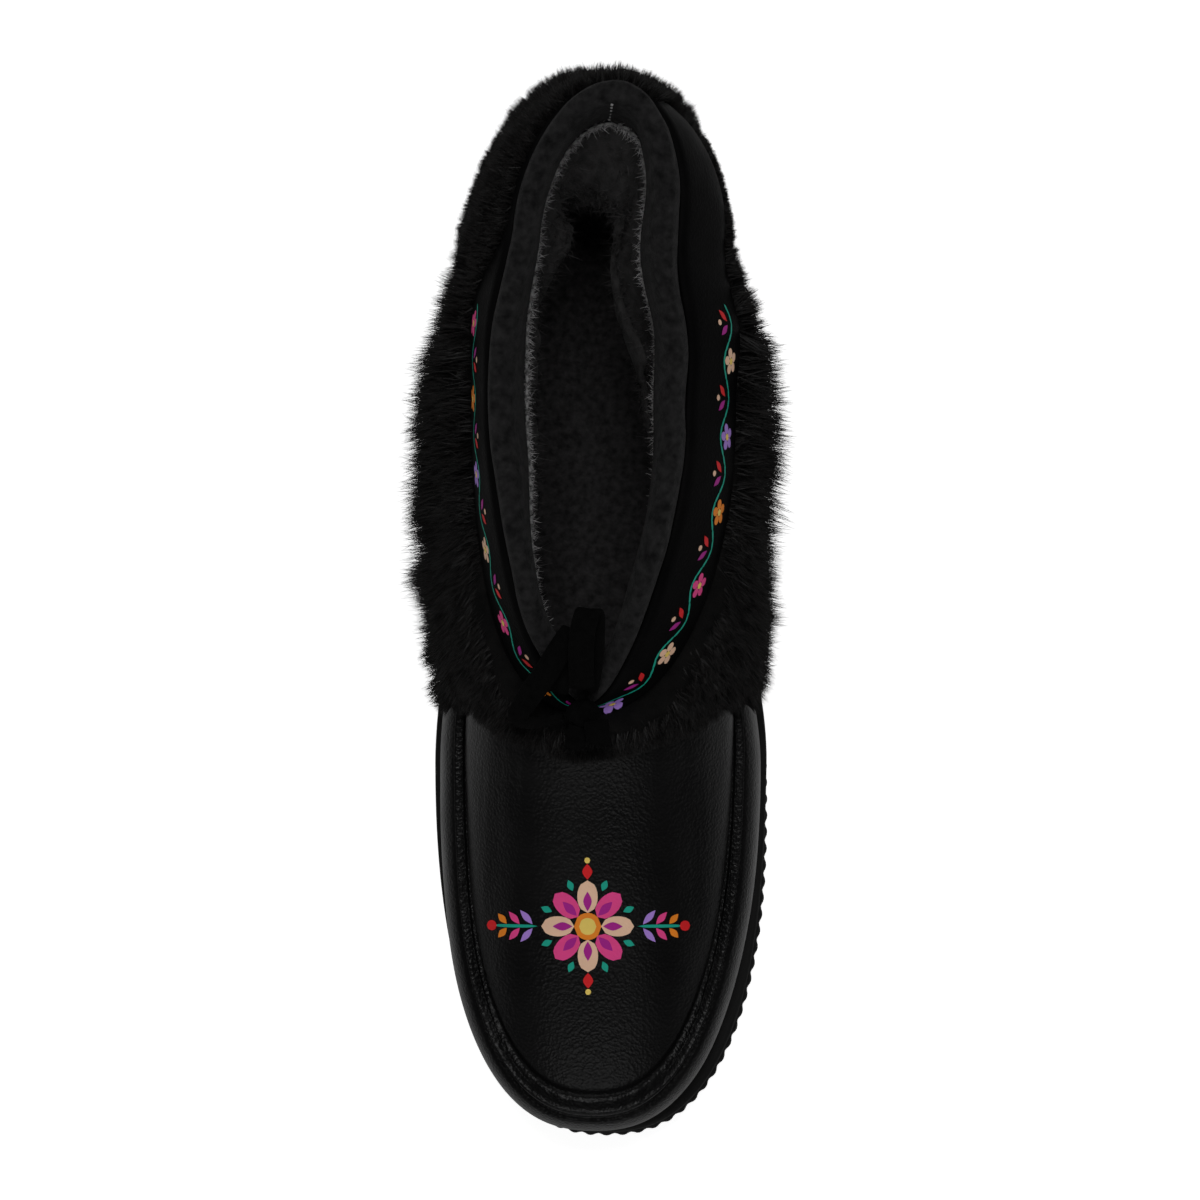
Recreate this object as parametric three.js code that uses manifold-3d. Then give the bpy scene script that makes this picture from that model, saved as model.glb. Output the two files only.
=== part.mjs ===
// Fur-cuffed moccasin boot for the right foot, standing empty on its sole.
// Millimetres, +Z up, the toe points to -Y and the inner side of the foot is +X.
import * as THREE from "three";
import { mergeVertices } from "three/addons/utils/BufferGeometryUtils.js";
import Module from "manifold-3d";

const wasm = await Module();
wasm.setup();

// Driving sizes of the sole
const SOLE_LENGTH = 267;
const SOLE_BACK = 127; // heel end of the sole, ahead of the frame's zero
const BALL_WIDTH = 87;
const HEEL_WIDTH = 65;
const WAIST_OUTER = 35.5; // half widths at the waist of the foot
const WAIST_INNER = 31.5;
const SOLE_AT_HEEL = 17; // thickness
const SOLE_AT_BALL = 11;
const TOE_SPRING = 6;
const HEEL_BEVEL = 2;
const ARCH_RISE = 2.5;
const LIP_HEIGHT = 3.2; // plain band that runs round the top of the sole
const LIP_INSET = 1.5; // how far the lip lies back from the ribbed side, inside and at the toe
const LIP_INSET_OUTER = 0.3; // and from the outline along the outside and the heel
const RIB_PITCH = 4.3;
const RIB_DEPTH = 0.9;
const SKIRT_TUCK = 0.4; // how far the ribbed side lies back from the outline, inside and at the toe
const SKIRT_TUCK_OUTER = 1.1; // and along the outside and the heel
const SOLE_TOE_SHIFT = 1.3;
const TREAD_PITCH = 9.5;
const TREAD_WIDTH = 3;
const TREAD_DEPTH = 1.8;

// Driving sizes of the upper
const WALL = 2.2;
const UPPER_HEIGHT = 99; // from the sole's top to the collar's edge at the back
const UPPER_TOE_SHIFT = -1.6;
const SEAM_HEIGHT = 2.3; // raised seam round the apron
const SEAM_HALF_WIDTH = 1.7;
const SEAM_DIP = 0.9; // channel on either side of it
const SEAM_DIP_AT = 3.4;
const INSOLE_THICKNESS = 5.5;
const INSOLE_INSET = 8.2;

// Driving sizes of the collar, fur and lace
const ANKLE_BACK = 126;
const ANKLE_FRONT = -27.5;
const ANKLE_OUTER = 29.5;
const ANKLE_INNER = 34;
const COLLAR_BACK = 126.4;
const COLLAR_FRONT = -26;
const COLLAR_OUTER = 24;
const COLLAR_INNER = 20.3;
const THROAT_SHIFT = -2.4; // the collar's front lies outwards of the middle
const COUNTER_SHIFT = 5; // and its back inwards
const BAND_THICKNESS = 1.5;
const BAND_PUFF = 0.8;
const BINDING_THICKNESS = 1;
const FUR_DEPTH = 13; // thickest, at the sides of the ankle
const LOCK_LENGTH = 12.5;
const LOCK_WIDTH = 12.5;
const LOCKS_ROUND = 20;
const LACE_WIDTH = 6.4;
const LACE_THICKNESS = 1.3;
const KNOT_WIDTH = 9;

const GAP = 0.3; // between touching pieces
const TURNS = 50; // steps round the foot
const GRAZE = 0.02; // keeps a cutter's face off the face that it meets
const FINEST = 0.14; // details below this are left out of the fused fur

// Small helpers
const clamp01 = (t) => Math.min(1, Math.max(0, t));
const ease = (t) => clamp01(t) ** 2 * (3 - 2 * clamp01(t));
const mix = (a, b, t) => a + (b - a) * t;
const bump = (t) => Math.exp(-t * t);
const stationOf = (turn) => (1 - Math.cos(turn)) / 2;
const sideOf = (turn) => (Math.sin(turn) > 0 ? -1 : 1);
// A share from 0 to 1 that looks random and is the same on every run.
const scatter = (n) => Math.abs(Math.sin(n * 127.1 + 3.7) * 43758.5453) % 1;

// Smooth value at `at` through rows of [place, value], level at both ends and never past a row's value.
function through(rows, at) {
  const last = rows.length - 1;
  if (at <= rows[0][0]) return rows[0][1];
  if (at >= rows[last][0]) return rows[last][1];
  const i = rows.findIndex((row) => row[0] > at) - 1;
  const grade = (k) => (rows[k + 1][1] - rows[k][1]) / (rows[k + 1][0] - rows[k][0]);
  const slope = (k) => {
    if (k === 0 || k === last) return 0;
    const [before, after] = [grade(k - 1), grade(k)];
    return before * after > 0 ? (2 * before * after) / (before + after) : 0;
  };
  const [x0, y0] = rows[i];
  const [x1, y1] = rows[i + 1];
  const t = (at - x0) / (x1 - x0);
  const rise = t * t * (3 - 2 * t);
  const start = t * (1 - t) ** 2 * (x1 - x0) * slope(i);
  const end = t * t * (t - 1) * (x1 - x0) * slope(i + 1);
  return mix(y0, y1, rise) + start + end;
}

// Outlines seen from above: half widths on each side at heel, waist and ball, with rounded ends.
const foot = {
  back: SOLE_BACK,
  front: SOLE_BACK - SOLE_LENGTH,
  outer: [HEEL_WIDTH / 2, WAIST_OUTER, BALL_WIDTH / 2],
  inner: [HEEL_WIDTH / 2, WAIST_INNER, BALL_WIDTH / 2],
  stations: [0.15, 0.36, 0.64],
  rounding: [2.1, 2.42],
};
const ankle = {
  back: ANKLE_BACK,
  front: ANKLE_FRONT,
  outer: [ANKLE_OUTER * 0.92, ANKLE_OUTER, ANKLE_OUTER],
  inner: [ANKLE_INNER * 0.87, ANKLE_INNER, ANKLE_INNER * 0.97],
  stations: [0.24, 0.4, 0.5],
  rounding: [2, 2.2],
};
const collar = {
  back: COLLAR_BACK,
  front: COLLAR_FRONT,
  outer: [COLLAR_OUTER * 0.79, COLLAR_OUTER, COLLAR_OUTER],
  inner: [COLLAR_INNER * 0.81, COLLAR_INNER, COLLAR_INNER * 0.96],
  stations: [0.22, 0.45, 0.55],
  rounding: [2, 1.52],
};

const roundEnd = (t, power) => Math.max(0, 1 - t ** power) ** (1 / power);

function halfWidth(shape, side, at, inset) {
  const widths = side < 0 ? shape.outer : shape.inner;
  const [heel, waist, ball] = widths.map((w) => w - inset);
  const [heelAt, waistAt, ballAt] = shape.stations;
  if (at < heelAt) return heel * roundEnd((heelAt - at) / heelAt, shape.rounding[0]);
  if (at < waistAt) return mix(heel, waist, ease((at - heelAt) / (waistAt - heelAt)));
  if (at < ballAt) return mix(waist, ball, ease((at - waistAt) / (ballAt - waistAt)));
  return ball * roundEnd((at - ballAt) / (1 - ballAt), shape.rounding[1]);
}

function outlinePoint(shape, turn, inset = 0, toeShift = 0, heelShift = 0) {
  const at = stationOf(turn);
  const side = sideOf(turn);
  const shift = toeShift * ease((at - 0.62) / 0.38) + heelShift * ease((0.35 - at) / 0.35);
  return new THREE.Vector2(
    side * halfWidth(shape, side, at, inset) + shift,
    mix(shape.back - inset, shape.front + inset, at),
  );
}

// Heights of the sole's two faces over the floor, along its length
const SOLE_TOP = [
  [0, SOLE_AT_HEEL],
  [0.22, SOLE_AT_HEEL],
  [0.55, SOLE_AT_BALL],
  [0.74, SOLE_AT_BALL],
  [0.88, SOLE_AT_BALL + TOE_SPRING * 0.3],
  [1, SOLE_AT_BALL + TOE_SPRING],
];
const SOLE_BOTTOM = [
  [0, HEEL_BEVEL],
  [0.05, 0],
  [0.3, 0],
  [0.4, ARCH_RISE],
  [0.5, 0],
  [0.76, 0],
  [0.88, TOE_SPRING * 0.3],
  [1, TOE_SPRING],
];
const soleTop = (at) => through(SOLE_TOP, at);
const soleTopUnder = (point) => soleTop((foot.back - point.y) / SOLE_LENGTH);

// The upper's rings from the sole to the collar. Each lies between the foot's outline, drawn in by an inset,
// the ankle's and the collar's. Insets are shares of the ball's width, heights are shares of the upper's
// height over the sole: at the heel, the waist, the ball and the front.
const RINGS = [
  { name: "seat", ankle: 0, collar: 0, inset: [0.052, 0.052], rise: [0, 0, 0, 0] },
  { name: "bulge", ankle: 0, collar: 0, inset: [0.028, 0.027], rise: [0.14, 0.13, 0.135, 0.1] },
  { name: "brow", ankle: 0, collar: 0, inset: [0.03, 0.045], rise: [0.285, 0.26, 0.24, 0.185] },
  { name: "seam", ankle: 0, collar: 0, inset: [0.037, 0.098], rise: [0.4, 0.36, 0.3, 0.228] },
  { name: "apron", ankle: 0.2, collar: 0, inset: [0.041, 0.1], rise: [0.475, 0.425, 0.38, 0.315] },
  { name: "vamp", ankle: 0.5, collar: 0, inset: [0.041, 0.1], rise: [0.545, 0.49, 0.47, 0.415] },
  { name: "instep", ankle: 0.8, collar: 0, inset: [0.041, 0.1], rise: [0.625, 0.575, 0.58, 0.51] },
  { name: "ankle", ankle: 1, collar: 0, inset: [0, 0], rise: [0.715, 0.69, 0.69, 0.61] },
  { name: "collar", ankle: 0, collar: 1, inset: [0, 0], rise: [1, 0.97, 0.975, 0.685] },
];
const RISE_AT = [0, 1.266, 1.982, Math.PI]; // turns of the heel, waist, ball and front
const ring = (name) => RINGS.findIndex((row) => row.name === name);
const SEAM = ring("seam");
const ANKLE = ring("ankle");
const COLLAR = ring("collar");

function ringPoint(row, turn) {
  const at = stationOf(turn);
  const inset = BALL_WIDTH * mix(row.inset[0], row.inset[1], ease((at - 0.25) / 0.35));
  const fold = turn <= Math.PI ? turn : 2 * Math.PI - turn;
  const plan = outlinePoint(foot, turn, inset, UPPER_TOE_SHIFT)
    .multiplyScalar(1 - row.ankle - row.collar)
    .addScaledVector(outlinePoint(ankle, turn, 0, THROAT_SHIFT, COUNTER_SHIFT * 0.6), row.ankle)
    .addScaledVector(outlinePoint(collar, turn, 0, THROAT_SHIFT, COUNTER_SHIFT), row.collar);
  const rise = through(RISE_AT.map((place, i) => [place, row.rise[i]]), fold);
  return new THREE.Vector3(plan.x, plan.y, soleTop(at) + GAP + rise * UPPER_HEIGHT);
}

// The upper's outer face without its raised seam: `turn` goes round from the heel by the outside,
// `level` counts the rings upwards and may lie between two of them.
function face(turn, level) {
  const last = RINGS.length - 1;
  const i = Math.min(last - 1, Math.max(0, Math.floor(level)));
  const t = level - i;
  const [a, b, c, d] = [i - 1, i, i + 1, i + 2].map((k) =>
    ringPoint(RINGS[Math.min(last, Math.max(0, k))], turn),
  );
  const part = (key) =>
    0.5 *
    (2 * b[key] +
      (c[key] - a[key]) * t +
      (2 * a[key] - 5 * b[key] + 4 * c[key] - d[key]) * t * t +
      (3 * b[key] - a[key] - 3 * c[key] + d[key]) * t ** 3);
  return new THREE.Vector3(part("x"), part("y"), part("z"));
}

function faceNormal(turn, level) {
  const step = 0.02;
  const round = face(turn + step, level).sub(face(turn - step, level));
  const up = face(turn, level + step).sub(face(turn, level - step));
  return round.cross(up).normalize();
}

// A point that stands `out` from the face, inwards where it is negative.
const offFace = (turn, level, out) =>
  face(turn, level).addScaledVector(faceNormal(turn, level), out);

// The level that lies `across` millimetres above the seam's line, measured on the face.
function levelFromSeam(turn, across) {
  const step = 0.5 * Math.sign(across || 1);
  const reach = face(turn, SEAM + step).distanceTo(face(turn, SEAM));
  return SEAM + (across * Math.abs(step)) / reach;
}

// How far the raised seam and its two channels change the outer face.
function seamRelief(turn, level) {
  const fade = ease((stationOf(turn) - 0.36) / 0.12);
  if (fade === 0 || Math.abs(level - SEAM) > 1) return 0;
  const away = face(turn, level).distanceTo(face(turn, SEAM));
  const ridge = SEAM_HEIGHT * bump(away / SEAM_HALF_WIDTH);
  const dips = SEAM_DIP * bump((away - SEAM_DIP_AT) / SEAM_HALF_WIDTH);
  return fade * (ridge - dips);
}

// Solids from grids of points. rows[i][j] is a point, and i goes round.
function solidOfMesh(positions, triangles) {
  const geometry = new THREE.BufferGeometry();
  geometry.setAttribute("position", new THREE.Float32BufferAttribute(positions, 3));
  geometry.setIndex(triangles);
  return solidOfGeometry(geometry);
}

function solidOfGeometry(geometry) {
  geometry.deleteAttribute("normal");
  geometry.deleteAttribute("uv");
  const merged = mergeVertices(geometry, 1e-4);
  return new wasm.Manifold(
    new wasm.Mesh({
      numProp: 3,
      vertProperties: merged.attributes.position.array,
      triVerts: new Uint32Array(merged.index.array),
    }),
  );
}

// Skins a grid whose rows go round an axis and whose columns close on themselves. Each face is split along
// its shorter diagonal, so that two walls which follow one another bend alike.
function ringSolid(rows) {
  const across = rows[0].length;
  const points = rows.flat();
  const reach = (a, b) => points[a].distanceTo(points[b]);
  const triangles = [];
  rows.forEach((row, i) =>
    row.forEach((_, j) => {
      const [a, b] = [i * across + j, i * across + ((j + 1) % across)];
      const next = ((i + 1) % rows.length) * across;
      const [c, d] = [next + ((j + 1) % across), next + j];
      triangles.push(...(reach(a, c) < reach(b, d) ? [a, c, b, a, d, c] : [a, d, b, b, d, c]));
    }),
  );
  return solidOfMesh(points.flatMap((p) => p.toArray()), triangles);
}

// Skins a stack of closed sections and closes both ends.
function barSolid(sections) {
  const count = sections[0].length;
  const triangles = [];
  for (let i = 0; i + 1 < sections.length; i++)
    for (let j = 0; j < count; j++) {
      const [a, b] = [i * count + j, i * count + ((j + 1) % count)];
      triangles.push(a, b, b + count, a, b + count, a + count);
    }
  const end = (sections.length - 1) * count;
  for (let j = 1; j + 1 < count; j++) {
    triangles.push(0, j + 1, j);
    triangles.push(end, end + j, end + j + 1);
  }
  return solidOfMesh(sections.flat().flatMap((p) => p.toArray()), triangles);
}

const turns = Array.from({ length: TURNS }, (_, i) => (2 * Math.PI * i) / TURNS);

// A closed wall round the foot, from one list of outer points up and one of inner points down.
const wallSolid = (outerOf, outerLevels, innerOf, innerLevels) =>
  ringSolid(
    turns.map((turn) => {
      const outer = outerLevels(turn).map((level) => outerOf(turn, level));
      const inner = innerLevels(turn).map((level) => innerOf(turn, level));
      return [...outer, ...inner.reverse()];
    }),
  );

// Levels shared by the upper and the pieces that lie against it
const BAND_LOW = 6.95;
const BAND_MIDDLE = 7.35;
const BAND_HIGH = 7.74;
const BINDING_LOW = 7.78;
const EDGE = 7.93;

function upperLevels(turn) {
  const ridge = [-0.9, 0, 0.9].map((share) => share * SEAM_HALF_WIDTH);
  const channels = [-1.5, -1, 1, 1.8].map((share) => share * SEAM_DIP_AT);
  const offsets = [...ridge, ...channels].sort((a, b) => a - b);
  const seam = offsets.map((across) => levelFromSeam(turn, across));
  return [0, 0.5, 1, 1.5, ...seam, 4, 5, 6, BAND_LOW, BAND_MIDDLE, BAND_HIGH, EDGE];
}

function makeUpper() {
  const seated = (point) => point.setZ(Math.max(point.z, soleTopUnder(point) + GAP));
  const outer = (turn, level) => seated(offFace(turn, level, seamRelief(turn, level)));
  const inner = (turn, level) => seated(offFace(turn, level, -WALL));
  const innerLevels = () => [0, 0.5, 1, 2, 3, 4, 5, 6, BAND_LOW, BAND_MIDDLE, EDGE];
  return wallSolid(outer, upperLevels, inner, innerLevels);
}

function makeCollarBand() {
  const middle = (BAND_LOW + BAND_HIGH) / 2;
  const puff = (level) => BAND_PUFF * (1 - ((level - middle) / (BAND_HIGH - middle)) ** 2);
  const outer = (turn, level) => offFace(turn, level, GAP + BAND_THICKNESS + puff(level));
  const inner = (turn, level) => offFace(turn, level, GAP);
  const levels = () => [BAND_LOW, BAND_MIDDLE, BAND_HIGH];
  return wallSolid(outer, levels, inner, levels);
}

// How far the padded facing leans inwards at its lower edge, along the collar's outer and inner side
const FACING_LEAN = {
  outer: [
    [0, 4],
    [0.15, 5],
    [0.4, 6.5],
    [0.6, 6.5],
    [0.8, 4],
    [1, 2],
  ],
  inner: [
    [0, 4],
    [0.12, 8.5],
    [0.3, 12],
    [0.5, 11],
    [0.7, 8],
    [0.85, 5],
    [1, 2],
  ],
};

// The facing is folded over the collar's edge like a binding: outside, over the top and down inside.
function makeCollarFacing() {
  const lift = new THREE.Vector3(0, 0, 1);
  const out = GAP + BINDING_THICKNESS;
  return ringSolid(
    turns.map((turn) => {
      const point = (level, away) => offFace(turn, level, away);
      const above = (away, rise) => point(EDGE, away).addScaledVector(lift, rise);
      const lean = through(sideOf(turn) < 0 ? FACING_LEAN.outer : FACING_LEAN.inner, stationOf(turn));
      return [
        point(BINDING_LOW, out),
        above(out, 2 * GAP),
        above(-WALL / 2, out),
        above(-WALL - out, GAP),
        point(BAND_MIDDLE, -WALL - out - lean),
        point(BAND_MIDDLE, -WALL - 1.7 * GAP),
        above(-WALL - 1.7 * GAP, GAP),
        above(GAP, GAP),
        point(EDGE, GAP),
        point(BINDING_LOW, GAP),
      ];
    }),
  );
}

// The fur's lower edge and its thickness along the foot's length
const FUR_HEM = [
  [0, 2],
  [0.35, 1.7],
  [0.54, 1.7],
  [0.58, 2.4],
  [0.62, 3.5],
  [0.7, 4.6],
  [0.8, 5.35],
  [0.9, 5.9],
  [1, 6.4],
];
const FUR_SHARE = [
  [0, 0.62],
  [0.06, 0.4],
  [0.18, 0.4],
  [0.3, 0.78],
  [0.44, 1],
  [0.54, 0.9],
  [0.64, 0.72],
  [0.8, 0.74],
  [1, 0.82],
];
// Across the cuff, from its hem to its top: share of the way up, share of the thickness.
const FUR_SECTION = [
  [0, 0.22],
  [0.12, 0.62],
  [0.35, 1],
  [0.6, 1],
  [0.82, 0.78],
  [0.95, 0.42],
  [1, 0.16],
];
const FUR_TOP = 6.88;

function furPoint(turn, share, extra = 0) {
  const at = stationOf(turn);
  const level = mix(through(FUR_HEM, at), FUR_TOP, share);
  const depth = FUR_DEPTH * through(FUR_SHARE, at) * through(FUR_SECTION, share);
  return offFace(turn, level, GAP + depth + extra);
}

// One lock: a bent, three-sided spike that starts inside the cuff.
function lockSolid(turn, share, length) {
  const root = furPoint(turn, share, -LOCK_LENGTH * 0.3);
  const outward = faceNormal(turn, mix(through(FUR_HEM, stationOf(turn)), FUR_TOP, share));
  const fall = new THREE.Vector3(0, 0, -1);
  const aim = outward.clone().addScaledVector(fall, 0.35).normalize();
  const wide = new THREE.Vector3().crossVectors(aim, fall).normalize();
  const high = new THREE.Vector3().crossVectors(aim, wide).normalize();
  const section = (along, size) =>
    [0, 1, 2].map((corner) => {
      const angle = ((corner + 0.25) * 2 * Math.PI) / 3;
      return root
        .clone()
        .addScaledVector(aim, along)
        .addScaledVector(fall, (0.25 * along * along) / length)
        .addScaledVector(wide, (Math.cos(angle) * size) / 2)
        .addScaledVector(high, (Math.sin(angle) * size) / 2);
    });
  return barSolid([
    section(0, LOCK_WIDTH),
    section(length * 0.55, LOCK_WIDTH * 0.7),
    section(length, LOCK_WIDTH * 0.12),
  ]);
}

function makeFurCuff() {
  const depths = FUR_SECTION.map(([share]) => share);
  const core = ringSolid(
    turns.map((turn) => {
      const hem = through(FUR_HEM, stationOf(turn));
      const inner = [1, 0.5, 0].map((share) => offFace(turn, mix(hem, FUR_TOP, share), -WALL));
      return [...depths.map((share) => furPoint(turn, share)), ...inner];
    }),
  );
  const locks = [];
  const round = new THREE.CatmullRomCurve3(turns.map((turn) => furPoint(turn, 0.5)), true);
  [0.14, 0.42, 0.7].forEach((share, row) => {
    for (let i = 0; i < LOCKS_ROUND; i++) {
      const seed = row * LOCKS_ROUND + i;
      const along = (i + 0.5 * (row % 2) + 0.4 * scatter(seed)) / LOCKS_ROUND;
      const turn = 2 * Math.PI * round.getUtoTmapping(along % 1);
      const fullness = through(FUR_SHARE, stationOf(turn));
      const length = LOCK_LENGTH * mix(0.75, 1, scatter(seed + 0.5)) * mix(0.55, 1, fullness);
      locks.push(lockSolid(turn, share, length));
    }
  });
  const fused = wasm.Manifold.union([core, ...locks]).subtract(bodyWithClearance());
  return outerSkin(fused.simplify(FINEST));
}

// The space that the upper takes, grown by the gap.
function bodyWithClearance() {
  const outer = (turn, level) => offFace(turn, level, GAP + seamRelief(turn, level));
  const inner = (turn, level) => offFace(turn, level, -3 * WALL);
  const levels = (turn) => upperLevels(turn).filter((level) => level < BAND_HIGH);
  return wallSolid(outer, levels, inner, () => [0, 1, 2, 3, 4, 5, 6, BAND_MIDDLE]);
}

// Keeps the largest body and drops any pocket that is closed in between the locks.
const outerSkin = (solid) =>
  solid.decompose().reduce((most, part) => (part.volume() > most.volume() ? part : most));

// The sole is its outline from above, cut to its outline from the side. It stands off the foot's outline
// by one distance along the outside and the heel, and by another along the inner forefoot and the toe.
function soleShape(outside, inside, ribs) {
  const fine = 720;
  const points = Array.from({ length: fine }, (_, i) =>
    outlinePoint(foot, (2 * Math.PI * i) / fine, 0, SOLE_TOE_SHIFT),
  );
  const lengths = [0];
  for (let i = 1; i <= fine; i++)
    lengths.push(lengths[i - 1] + points[i % fine].distanceTo(points[i - 1]));
  const girth = lengths[fine];
  const count = ribs ? 2 * Math.round(girth / RIB_PITCH) : 2 * TURNS;
  const shape = new THREE.Shape();
  let i = 0;
  for (let k = 0; k < count; k++) {
    const along = (girth * k) / count;
    while (lengths[i + 1] < along) i++;
    const [from, to] = [points[i], points[(i + 1) % fine]];
    const spot = from.clone().lerp(to, (along - lengths[i]) / (lengths[i + 1] - lengths[i]));
    const outward = new THREE.Vector2(to.y - from.y, from.x - to.x).normalize();
    const at = (foot.back - spot.y) / SOLE_LENGTH;
    const within = spot.x > 0 ? ease((at - 0.5) / 0.3) : ease((at - 0.93) / 0.07);
    spot.addScaledVector(outward, mix(outside, inside, within) - (ribs ? (k % 2) * RIB_DEPTH : 0));
    if (k === 0) shape.moveTo(spot.x, spot.y);
    else shape.lineTo(spot.x, spot.y);
  }
  return shape;
}

// A slab across the whole width, between two heights that follow the sole's length.
function profileSolid(lowAt, highAt) {
  const steps = 27;
  const spots = Array.from({ length: steps + 1 }, (_, i) => mix(-0.04, 1.04, i / steps));
  const place = (at, height) => new THREE.Vector2(foot.back - at * SOLE_LENGTH, height);
  const low = spots.map((at) => place(at, lowAt(clamp01(at))));
  const high = spots.map((at) => place(at, highAt(clamp01(at)))).reverse();
  const width = 2 * BALL_WIDTH;
  const geometry = new THREE.ExtrudeGeometry(new THREE.Shape([...low, ...high]), {
    depth: width,
    bevelEnabled: false,
  });
  geometry.translate(0, 0, -width / 2);
  geometry.applyMatrix4(
    new THREE.Matrix4().makeBasis(
      new THREE.Vector3(0, 1, 0),
      new THREE.Vector3(0, 0, 1),
      new THREE.Vector3(1, 0, 0),
    ),
  );
  return solidOfGeometry(geometry);
}

function planSolid(shape) {
  const height = SOLE_AT_HEEL + UPPER_HEIGHT;
  const geometry = new THREE.ExtrudeGeometry(shape, { depth: height, bevelEnabled: false });
  geometry.translate(0, 0, -GAP);
  return solidOfGeometry(geometry);
}

function boxSolid(size, centre) {
  const geometry = new THREE.BoxGeometry(...size);
  geometry.translate(...centre);
  return solidOfGeometry(geometry);
}

function makeOutsole() {
  const bottom = (at) => through(SOLE_BOTTOM, at);
  const lipLow = (at) => soleTop(at) - LIP_HEIGHT;
  const skirt = planSolid(soleShape(-SKIRT_TUCK_OUTER, -SKIRT_TUCK, true)).intersect(
    profileSolid(bottom, (at) => lipLow(at) + GRAZE),
  );
  const lip = planSolid(soleShape(-LIP_INSET_OUTER, -LIP_INSET, false)).intersect(
    profileSolid(lipLow, soleTop),
  );
  const cuts = [];
  for (const [from, to] of [[0.07, 0.28], [0.52, 0.8]])
    for (let at = from; at < to; at += TREAD_PITCH / SOLE_LENGTH)
      cuts.push(
        boxSolid(
          [BALL_WIDTH * 2, TREAD_WIDTH, TREAD_DEPTH * 2],
          [0, foot.back - at * SOLE_LENGTH, bottom(at)],
        ),
      );
  return skirt.add(lip).subtract(wasm.Manifold.union(cuts));
}

function makeInsole() {
  const shape = new THREE.Shape(
    turns.map((turn) => outlinePoint(foot, turn, INSOLE_INSET, UPPER_TOE_SHIFT)),
  );
  const low = (at) => soleTop(at) + GAP;
  return planSolid(shape).intersect(profileSolid(low, (at) => low(at) + INSOLE_THICKNESS));
}

// The lace is a flat thong. Each stretch is a route of points with the direction that its width lies in.
function thongSolid(route) {
  const line = new THREE.CatmullRomCurve3(route.map(({ at }) => new THREE.Vector3(...at)));
  const wide = new THREE.CatmullRomCurve3(route.map(({ across }) => new THREE.Vector3(...across)));
  const steps = Math.max(6, Math.round(line.getLength() / LACE_WIDTH) * 2);
  const sections = [];
  for (let i = 0; i <= steps; i++) {
    const t = i / steps;
    const centre = line.getPoint(t);
    const along = line.getTangent(t);
    const thick = new THREE.Vector3().crossVectors(along, wide.getPoint(t)).normalize();
    const across = new THREE.Vector3().crossVectors(thick, along).normalize();
    const corner = (a, b) =>
      centre
        .clone()
        .addScaledVector(across, (a * LACE_WIDTH) / 2)
        .addScaledVector(thick, (b * LACE_THICKNESS) / 2);
    sections.push([corner(-1, -1), corner(1, -1), corner(1, 1), corner(-1, 1)]);
  }
  return barSolid(sections);
}

// Places of the bow, chosen by hand over the front of the collar
const KNOT = [-3, -29.5, 88];
const LOOP_UP = [
  { at: [-2.2, -23.2, 92.4], across: [1, 0, 0] },
  { at: [-1, -17, 99], across: [0.95, 0, 0.2] },
  { at: [-0.3, -10, 105.4], across: [0.9, 0.1, 0.3] },
  { at: [-0.2, -5, 108.4], across: [0.9, 0.1, 0.3] },
  { at: [-1.2, -4, 111], across: [1, 0, 0.2] },
  { at: [-2.6, -8.4, 110], across: [1, 0, 0] },
  { at: [-3.2, -15.6, 105], across: [1, 0, 0] },
  { at: [-3.2, -22.8, 97.2], across: [1, 0, 0] },
];
const LOOP_SIDE = [
  { at: [-8, -30.2, 90.2], across: [0, 0.2, 1] },
  { at: [-12, -31.2, 90], across: [0, 0.3, 1] },
  { at: [-16.4, -31.8, 90], across: [0.1, 0.4, 0.9] },
  { at: [-19.2, -29.8, 91.2], across: [0.5, 0.5, 0.7] },
  { at: [-16, -24.6, 95], across: [0.8, -0.5, 0.4] },
  { at: [-12.4, -19.8, 98.8], across: [0.8, -0.55, 0.2] },
  { at: [-9.2, -14.6, 100.8], across: [0.8, -0.55, 0.1] },
  { at: [-6, -10, 101.4], across: [0.8, -0.5, 0.1] },
  { at: [-5.2, -9.2, 99.4], across: [0.85, -0.4, 0.1] },
  { at: [-6.4, -13, 98.2], across: [0.9, -0.3, 0.1] },
  { at: [-8.4, -18, 96.6], across: [1, -0.1, 0.1] },
  { at: [-9.8, -24, 93.6], across: [1, 0, 0.1] },
];
const END_LOW = [
  { at: [-3.6, -33.1, 88.8], across: [1, 0.1, 0] },
  { at: [-4, -34.4, 88.9], across: [1, 0.1, 0] },
  { at: [-4.4, -36.4, 88.3], across: [1, 0.1, 0] },
  { at: [-4.6, -38.2, 87.2], across: [1, 0.1, 0] },
];
const END_HIGH = [
  { at: [0.2, -31.4, 90.8], across: [1, -0.1, 0] },
  { at: [0.5, -33.4, 91.2], across: [1, -0.1, 0] },
  { at: [0.8, -35.6, 90.7], across: [1, -0.1, 0] },
  { at: [1, -37.4, 89.6], across: [1, -0.1, 0] },
];

function makeKnot() {
  const geometry = new THREE.SphereGeometry(KNOT_WIDTH / 2, 10, 6);
  geometry.scale(1, 0.72, 0.62);
  geometry.translate(...KNOT);
  return solidOfGeometry(geometry);
}

function meshOf(name, solid, colour, roughness) {
  const { vertProperties, triVerts } = solid.getMesh();
  const geometry = new THREE.BufferGeometry();
  geometry.setAttribute("position", new THREE.BufferAttribute(vertProperties, 3));
  geometry.setIndex(new THREE.BufferAttribute(triVerts, 1));
  geometry.computeVertexNormals();
  const material = new THREE.MeshStandardMaterial({ color: colour, roughness, metalness: 0 });
  const mesh = new THREE.Mesh(geometry, material);
  mesh.name = name;
  return mesh;
}

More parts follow.
